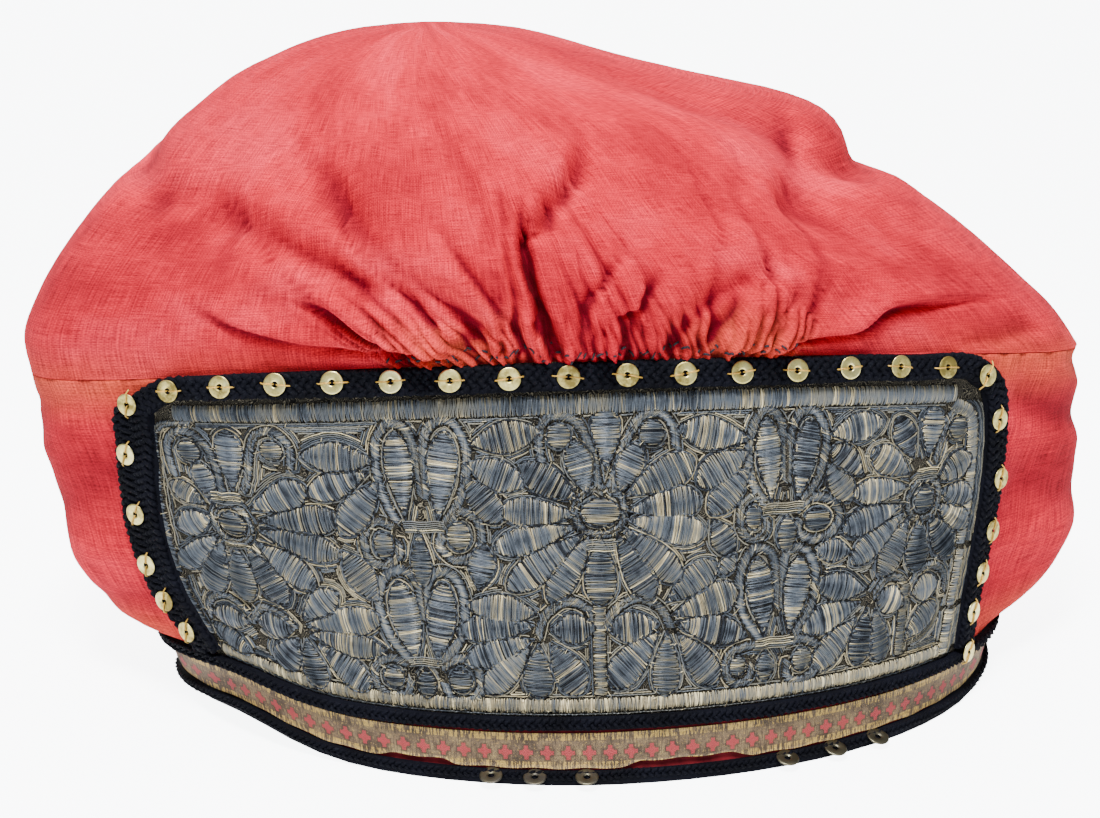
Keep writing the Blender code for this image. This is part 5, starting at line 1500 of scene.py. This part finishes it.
# %% Cross pattern as a group
CROSS_PITCH, CROSS_MIDDLE = 4.7, 6.6
crosses, begin, end = shader_tree(
    "woven crosses",
    [("Flat Place", VECTOR, (0, 0, 0)), ("Pitch", FLOAT, CROSS_PITCH), ("Middle", FLOAT, CROSS_MIDDLE)],
    [("Mask", FLOAT), ("Edge", FLOAT)],
)
split = add(crosses, "ShaderNodeSeparateXYZ", n0=begin.outputs["Flat Place"])
number = reckon(crosses, "DIVIDE", split.outputs[0], begin.outputs["Pitch"])
off_middle = reckon(crosses, "SUBTRACT", reckon(crosses, "FRACT", number), 0.5)
along_cross = reckon(crosses, "ABSOLUTE", times(crosses, off_middle, begin.outputs["Pitch"]))
off_middle = reckon(crosses, "SUBTRACT", split.outputs[1], begin.outputs["Middle"])
up_cross = reckon(crosses, "ABSOLUTE", off_middle)


def bar_mask(half_along, half_up):
    one = reckon(crosses, "LESS_THAN", along_cross, half_along)
    return times(crosses, one, reckon(crosses, "LESS_THAN", up_cross, half_up))


def cross_mask(arm, half_height, middle):
    two = reckon(crosses, "MAXIMUM", bar_mask(arm, half_height), bar_mask(half_height * 0.92, arm))
    return reckon(crosses, "MAXIMUM", two, bar_mask(middle, middle))


mask = cross_mask(0.46, 1.60, 0.75)
crosses.links.new(mask, end.inputs["Mask"])
crosses.links.new(reckon(crosses, "SUBTRACT", cross_mask(0.80, 1.95, 1.15), mask), end.inputs["Edge"])
print(crosses.name, "repeat every", CROSS_PITCH, "mm")


# %% Ribbon
RIM_SHARE = 0.88


def gold_ribbon():
    made, tree, shader = finish_of("tarnished gold ribbon", Metallic=0.15, Roughness=0.6)
    stretch = dict(operation="MULTIPLY")
    mapped = flat_place(tree)
    flat = add(tree, "ShaderNodeVectorMath", stretch, n0=mapped, n1=(RIM_SHARE, 1.0, 1.0)).outputs[0]
    cloth = use_group(tree, weave, Flat_Place=flat, Threads_per_mm=3.0, Slubs=0.7)
    cross = use_group(tree, crosses, Flat_Place=flat, Pitch=CROSS_PITCH, Middle=CROSS_MIDDLE)
    patches, fine = noise(tree, flat, 0.12, 4.0, 0.65), noise(tree, flat, 1.6, 3.0, 0.7)
    upright = add(tree, "ShaderNodeVectorMath", stretch, n0=flat, n1=(2.6, 0.35, 1.0)).outputs[0]
    threads_up = noise(tree, upright, 1.0, 2.0)
    off_middle = reckon(tree, "SUBTRACT", add(tree, "ShaderNodeSeparateXYZ", n0=flat).outputs[1], 7.0)
    border = reckon(tree, "GREATER_THAN", reckon(tree, "ABSOLUTE", off_middle), 2.5)
    flecks = times(tree, border, reckon(tree, "GREATER_THAN", threads_up, 0.53))
    ground = ramp(tree, patches, (
        (0.36, (0.065, 0.042, 0.022, 1)), (0.50, (0.150, 0.100, 0.055, 1)),
        (0.66, (0.27, 0.19, 0.085, 1)),
    ))
    for spread, share, colour in (
        (reckon(tree, "GREATER_THAN", fine, 0.60), 0.5, (0.52, 0.34, 0.09, 1)),
        (reckon(tree, "LESS_THAN", fine, 0.40), 0.55, (0.05, 0.035, 0.025, 1)),
        (flecks, 0.75, (0.58, 0.38, 0.085, 1)),
        (reckon(tree, "LESS_THAN", threads_up, 0.44), 0.6, (0.040, 0.026, 0.016, 1)),
        (cross.outputs["Edge"], 0.55, (0.045, 0.014, 0.010, 1)),
    ):
        ground = blend_colour(tree, times(tree, spread, share), ground, colour)
    share = times(tree, cross.outputs["Mask"], scaled(tree, fine, 0.6, 0.62), clamp=True)
    red = blend_colour(tree, share, ground, (0.36, 0.036, 0.042, 1))
    shade = scaled(tree, cloth.outputs["Shade"], 0.7, 1.0)
    tree.links.new(blend_colour(tree, 1.0, red, shade, "MULTIPLY"), shader.inputs["Base Color"])
    height = reckon(tree, "ADD", cloth.outputs["Height"], times(tree, cross.outputs["Mask"], 0.5))
    emboss(tree, shader, 0.7, 0.00022, height)
    return made


def ribbon_band(finish):
    along = np.linspace(-ROUND, ROUND, 640, endpoint=False)
    worn_edge = 3.0 + 0.15 * np.sin(along * 0.5)
    worn_edge += 1.3 * (smooth_step(0.0, 6.0, along) - smooth_step(28.0, 36.0, along))
    worn_edge += 1.0 * (smooth_step(-64.0, -58.0, along) - smooth_step(-46.0, -42.0, along))
    grid_along, shares = np.meshgrid(along, np.linspace(0.0, 1.0, 9))
    grid_up = worn_edge + (11.1 - worn_edge) * shares
    ripple = 0.10 * np.sin(grid_along * 0.31) * np.sin(grid_up * 0.9)
    outer, inner = wall(grid_along, grid_up, 0.75 + ripple), wall(grid_along, grid_up, 0.32)
    rows, columns = grid_along.shape
    count = rows * columns
    faces = grid_faces(rows, columns, ring=True).tolist()
    faces += grid_faces(rows, columns, count, ring=True, turned=True).tolist()
    around = np.arange(columns + 1) % columns
    faces += edge_faces(around[::-1], (around + count)[::-1]).tolist()
    top = around + (rows - 1) * columns
    faces += edge_faces(top, top + count).tolist()
    maps = np.stack([grid_along, grid_up], axis=-1).reshape(-1, 2)
    points = np.concatenate([outer, inner]).reshape(-1, 3)
    return new_object("ribbon_band", points, faces, finish, maps=np.tile(maps, (2, 1)))


ribbon = ribbon_band(gold_ribbon())
print("ribbon has", len(ribbon.data.polygons), "faces")

# %% [markdown]
# ## Sequins
#
# The sequins are small brass washers, a little dished. One washer is made, and a tree sets it at every
# place and turns it to the wall there. Those left at the rim lean out from the braid.

# %% Places of the sequins
ROW_UPS = (93.4, 93.9, 93.9, 93.7, 93.3, 92.9, 92.8, 92.8, 92.8, 92.8, 92.8, 93.0, 93.4, 93.6, 93.3)
SEQUINS = [(-102.0 + 13.2 * i, up) for i, up in enumerate(ROW_UPS)] + [
    (-112.8, 90.0), (-115.6, 75.4), (-117.6, 57.2), (-119.0, 41.5), (-118.2, 30.5), (-115.8, 21.5),
    (95.4, 91.0), (101.9, 79.0), (106.4, 62.5), (107.0, 48.0), (105.8, 36.5), (104.6, 26.0), (105.8, 14.6),
]
RIM_SEQUINS = (-33.0, -22.0, -9.0, 43.5, 57.5, 71.0)


def facing_at(along, up, out, tilt=0.0):
    """A place off the wall, and the directions sideways, upwards and outwards of a piece set there."""
    middle, side, rising = wall([along, along + 1.0, along], [up, up, up + 1.0], out)
    side = (side - middle) / np.linalg.norm(side - middle)
    face = np.cross(side, rising - middle)
    face = face / np.linalg.norm(face)
    rising = np.cross(face, side)
    turned = face * np.cos(tilt) + rising * np.sin(tilt)
    return middle, side, rising * np.cos(tilt) - face * np.sin(tilt), turned


spots = [facing_at(along, up, out=2.75) for along, up in SEQUINS]
spots += [facing_at(along, RIM_MIDDLE, out=3.3, tilt=1.10) for along in RIM_SEQUINS]
print(len(spots), "sequins")


# %% A washer and its tree
WASHER_SECTION = (
    # from the middle, up
    (0.72, 0.06), (0.78, 0.24), (1.1, 0.30), (2.3, 0.30), (2.58, 0.26), (2.66, 0.14), (2.6, 0.0),
    (1.8, 0.0), (0.8, 0.0),
)


def washer(corners=32):
    """Rings of a dished disc with a hole, turned round its middle."""
    turn = np.linspace(0, 2 * np.pi, corners, endpoint=False)
    points = np.array([[r * np.cos(t), r * np.sin(t), z] for r, z in WASHER_SECTION for t in turn])
    rows = len(WASHER_SECTION)
    faces = grid_faces(rows, corners, ring=True, turned=True).tolist()
    around = np.arange(corners + 1) % corners
    faces += edge_faces(around + (rows - 1) * corners, around)[:, ::-1].tolist()
    return new_object("washer", points, faces)


def brass():
    made, tree, shader = finish_of("pale brass", Metallic=1.0, Roughness=0.36)
    place = solid_place(tree)
    patches, slow = noise(tree, place, 330.0, 4.0, 0.7), noise(tree, place, 30.0, 2.0)
    mixed = times(tree, reckon(tree, "ADD", patches, slow), 0.5)
    colour = ramp(tree, mixed, (
        (0.40, (0.26, 0.20, 0.055, 1)), (0.49, (0.66, 0.57, 0.20, 1)), (0.60, (0.90, 0.83, 0.40, 1)),
    ))
    height = add(tree, "ShaderNodeSeparateXYZ", n0=place).outputs[2]
    # The sequins at the rim, below 6 mm, are blended to a dark grey.
    at_rim = reckon(tree, "LESS_THAN", height, DARKER_BELOW)
    colour = blend_colour(tree, times(tree, at_rim, 0.9), colour, (0.045, 0.045, 0.050, 1))
    tree.links.new(colour, shader.inputs["Base Color"])
    rough = ramp(tree, mixed, ((0.4, (0.5, 0.5, 0.5, 1)), (0.6, (0.28, 0.28, 0.28, 1))))
    tree.links.new(rough, shader.inputs["Roughness"])
    return made


OBJECT = "NodeSocketObject"
DARKER_BELOW = 0.006
setting, begin, end = shape_tree(
    "pieces set on places", [("Piece", OBJECT, None), ("Finish", MATERIAL, None)],
)
shape = add(setting, "GeometryNodeObjectInfo", Object=begin.outputs["Piece"])
turn = add(setting, "GeometryNodeInputNamedAttribute", dict(data_type="FLOAT_VECTOR"), Name="turn")
as_rotation = add(setting, "FunctionNodeEulerToRotation", n0=turn.outputs[0])
dots = add(setting, "GeometryNodeMeshToPoints", Mesh=begin.outputs["Geometry"])
placed = add(setting, "GeometryNodeInstanceOnPoints",
             Points=dots.outputs[0], Instance=shape.outputs["Geometry"], Rotation=as_rotation.outputs[0])
close_tree(setting, end, placed.outputs[0], begin.outputs["Finish"])


def set_pieces(name, places, piece, finish):
    """Copies of a piece on places, each with its middle, side, rising and facing directions."""
    obj = new_object(name, [middle for middle, *_ in places], ())
    turns = [Matrix(np.stack(directions, axis=1).tolist()).to_euler() for _, *directions in places]
    made = obj.data.attributes.new("turn", "FLOAT_VECTOR", "POINT")
    made.data.foreach_set("vector", np.array([tuple(t) for t in turns], np.float32).ravel())
    return grow(obj, setting, Piece=piece, Finish=finish)


shape = washer()
sequins = set_pieces("sequins", spots, shape, brass())
bpy.data.objects.remove(shape)
print("sequins have", len(sequins.data.polygons), "faces")

# %% [markdown]
# ## Stitches
#
# A stitch of two golden threads goes across each sequin of the frame and down into its hole. The
# sequins at the rim have lost theirs. Navy stitches hold the gathers.

# %% Golden and navy stitches
def thread_finish(name, colour, metallic, rough):
    made, tree, shader = finish_of(name, Metallic=metallic, Roughness=rough)
    tint = marked(tree, "tint")
    dark = tuple(0.35 * c for c in colour[:3]) + (1,)
    tree.links.new(blend_colour(tree, tint, dark, colour), shader.inputs["Base Color"])
    return made


STITCH_PROFILE = ((2.75, 0.36), (1.7, 0.52), (0.85, 0.44), (0.45, 0.05), (0.30, -0.5))


def stitch_over(spot, angle, half, luck):
    """Two threads from a sequin's hole over its two sides, down to the braid."""
    middle, side, rising, face = spot
    way = side * np.cos(angle) + rising * np.sin(angle)
    across = np.cross(face, way)
    made = []
    for end in (-1.0, 1.0):
        shift = luck.normal(0, 0.12)
        line = []
        for out, rise in ((half, -0.6), *STITCH_PROFILE):
            aside = shift * out / 3.0 + luck.normal(0, 0.03)
            line.append(middle + way * end * out + across * aside + face * rise)
        made.append((np.array(line), luck.uniform(0.5, 1.0)))
    return made


GOLD_THREAD = thread_finish("golden thread", (0.64, 0.38, 0.06, 1), 0.3, 0.45)
gold_strands = []
for index, spot in enumerate(spots[: len(SEQUINS)]):
    angle = 0.0 if index < len(ROW_UPS) else 1.2
    gold_strands += stitch_over(spot, angle + chance.normal(0, 0.16), chance.uniform(3.2, 3.9), chance)
gold_stitches = threads("gold_stitches", gold_strands, 0.19, 5, GOLD_THREAD)
NAVY_THREAD = thread_finish("navy thread", (0.004, 0.005, 0.014, 1), 0.0, 0.7)
OUTWARDS = np.array([0.0, -1.0, 0.45])
STITCH_BEND = ((-1, -1, -0.3), (-0.6, -0.5, 0.35), (0, 0, 0.5), (0.6, 0.5, 0.35), (1, 1, -0.3))
navy_strands = []
for foot in np.arange(-50.0, 46.0, 1.5):
    along = foot + chance.normal(0, 0.3)
    rise = chance.uniform(0.015, 0.046)
    column = int(np.argmin(np.abs(crown_along - along)))
    row = int(rise / FINE_RISE)
    spot = crown_outer[row, column]
    ahead = crown_outer[row, column + 2] - spot
    reach = ahead / np.linalg.norm(ahead) * chance.uniform(0.35, 0.8)
    up = np.array([0, 0, chance.uniform(-0.6, 0.6)])
    line = [spot + reach * a + up * b + OUTWARDS * c for a, b, c in STITCH_BEND]
    navy_strands.append((np.array(line), chance.uniform(0.3, 1.0)))
navy_stitches = threads("navy_stitches", navy_strands, 0.26, 4, NAVY_THREAD)
print(len(gold_strands), "golden and", len(navy_strands), "navy stitches")


# %% Worn lining
def worn_lining():
    made, tree, shader = finish_of("dark red lining", Roughness=0.85, Specular_IOR_Level=0.2)
    patches = noise(tree, solid_place(tree), 140.0, 4.0, 0.6)
    colour = ramp(tree, patches, ((0.4, (0.10, 0.004, 0.010, 1)), (0.62, (0.26, 0.018, 0.026, 1))))
    tree.links.new(colour, shader.inputs["Base Color"])
    return made


dress_solid("rim_lining", worn_lining())
print("lining is finished")

# %% [markdown]
# ## Fitting the pieces to the solids
#
# Each piece that takes the place of a solid names it, and every piece belongs to the one body of the cap.
# Each piece of cloth was cut flat. The crown is close to half of a wide oval, and the side cloth and the
# ribbon are long strips.

# %% Pieces and solids
def area_of(obj):
    return float(sum(face.area for face in obj.data.polygons))


SEQUIN_NODES = [f"sequin_{number + 1:02d}" for number in range(len(SEQUINS))]
SEQUIN_NODES += [f"rim_sequin_{number + 1:02d}" for number in range(len(RIM_SEQUINS))]
REPLACED = (
    (crown, "red_cotton", ["crown"]), (sides, "red_cotton", ["side_band"]),
    (board, "silver_embroidery", ["front_panel"]), (ribbon, "gold_ribbon", ["ribbon"]),
    (sequins, "brass_sequin", SEQUIN_NODES),
)
for piece, slot, nodes in REPLACED:
    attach(piece, "root")
    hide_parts(*nodes)
ADDED = (
    (petal_work, "silver_embroidery"), (bar_work, "silver_embroidery"), (outline_work, "silver_embroidery"),
    (fill_work, "silver_embroidery"), (short_work, "silver_embroidery"), (frame_plait, "navy_braid"),
    (base_plait, "navy_braid"), (rim_plait, "navy_braid"), (gold_stitches, None), (navy_stitches, None),
)
for piece, slot in ADDED:
    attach(piece, "root")
for piece in (crown, sides, ribbon):
    print(piece.name, "is", round(area_of(piece) / 2, 4), "square metres")

# %% [markdown]
# ## Table, light and camera
#
# The cap stands on a pale sheet that curves up behind it, in the soft light of a bright room. Both look
# nearly white in the picture. Most of that brightness is for the eye alone, so that it doesn't light
# the cap.

# %% Stage
PAPER_LOOK = dict(Roughness=0.75, Base_Color=(0.90, 0.92, 0.935, 1), Emission_Color=(0.955, 0.98, 1.0, 1))
PAPER_BEND = 0.35
PAPER_GLOW, PAPER_SEEN = 0.40, 7.0
ROOM_GLOW, ROOM_SEEN = 0.34, 3.0


def glow_to_eye(tree, seen, always):
    """A strength of light that is larger where the camera looks straight at it."""
    return scaled(tree, add(tree, "ShaderNodeLightPath").outputs["Is Camera Ray"], seen, always)


def pale_sheet():
    made, tree, shader = finish_of("pale paper", **PAPER_LOOK)
    glow = glow_to_eye(tree, PAPER_SEEN, PAPER_GLOW)
    tree.links.new(glow, shader.inputs["Emission Strength"])
    across = np.linspace(-3.0, 3.0, 2) / MM
    turns = np.linspace(0, math.pi / 2, 12)
    curve = [(0.5 + PAPER_BEND * math.sin(a), PAPER_BEND * (1 - math.cos(a))) for a in turns]
    profile = [(-3.0, 0.0), *curve, (0.5 + PAPER_BEND, 2.4)]
    points = [(x, y / MM, z / MM) for y, z in profile for x in across]
    return new_object("paper", points, grid_faces(len(profile), 2), made)


paper = pale_sheet()
scene = bpy.context.scene
scene.world = scene.world or bpy.data.worlds.new("room")
scene.world.use_nodes = True
room, room_shader = scene.world.node_tree, scene.world.node_tree.nodes["Background"]
room_shader.inputs["Color"].default_value = (0.93, 0.96, 1.0, 1)
room.links.new(glow_to_eye(room, ROOM_SEEN, ROOM_GLOW), room_shader.inputs["Strength"])


def soft_light(name, place, aim, size, power, colour=(1, 1, 1)):
    light = bpy.data.lights.new(name, "AREA")
    light.shape, light.size, light.energy, light.color = "DISK", size, power, colour
    obj = bpy.data.objects.new(name, light)
    scene.collection.objects.link(obj)
    obj.location = place
    obj.rotation_euler = (Vector(aim) - Vector(place)).to_track_quat("-Z", "Y").to_euler()


soft_light("window", (-0.12, -0.32, 1.08), (0, 0, 0.05), size=0.32, power=23.0, colour=(1.0, 0.99, 0.98))
soft_light("ceiling", (0.10, 0.1, 1.2), (0, 0, 0.05), size=0.9, power=6.0)
soft_light("room", (-0.1, -1.15, 0.5), (0, 0, 0.06), size=0.7, power=3.2, colour=(0.95, 0.97, 1.0))

# %% Camera at the photo's place
CAMERA_TARGET = Vector((-0.0073, -0.0196, 0.0693))
TURN, TILT, DISTANCE = math.radians(-5.8), math.radians(18.3), 0.430
SENSOR, LENS_PIXELS, PICTURE_PIXELS = 36.0, 1748.0, 1100.0
eye = bpy.data.objects.new("camera", bpy.data.cameras.new("camera"))
scene.collection.objects.link(eye)
scene.camera = eye
back = Vector((math.sin(TURN) * math.cos(TILT), -math.cos(TURN) * math.cos(TILT), math.sin(TILT)))
eye.location = CAMERA_TARGET + back * DISTANCE
eye.rotation_euler = back.to_track_quat("Z", "Y").to_euler()
eye.data.sensor_width, eye.data.lens = SENSOR, SENSOR * LENS_PIXELS / PICTURE_PIXELS
eye.data.clip_start = 0.01
print("camera stands at", [round(x, 3) for x in eye.location])
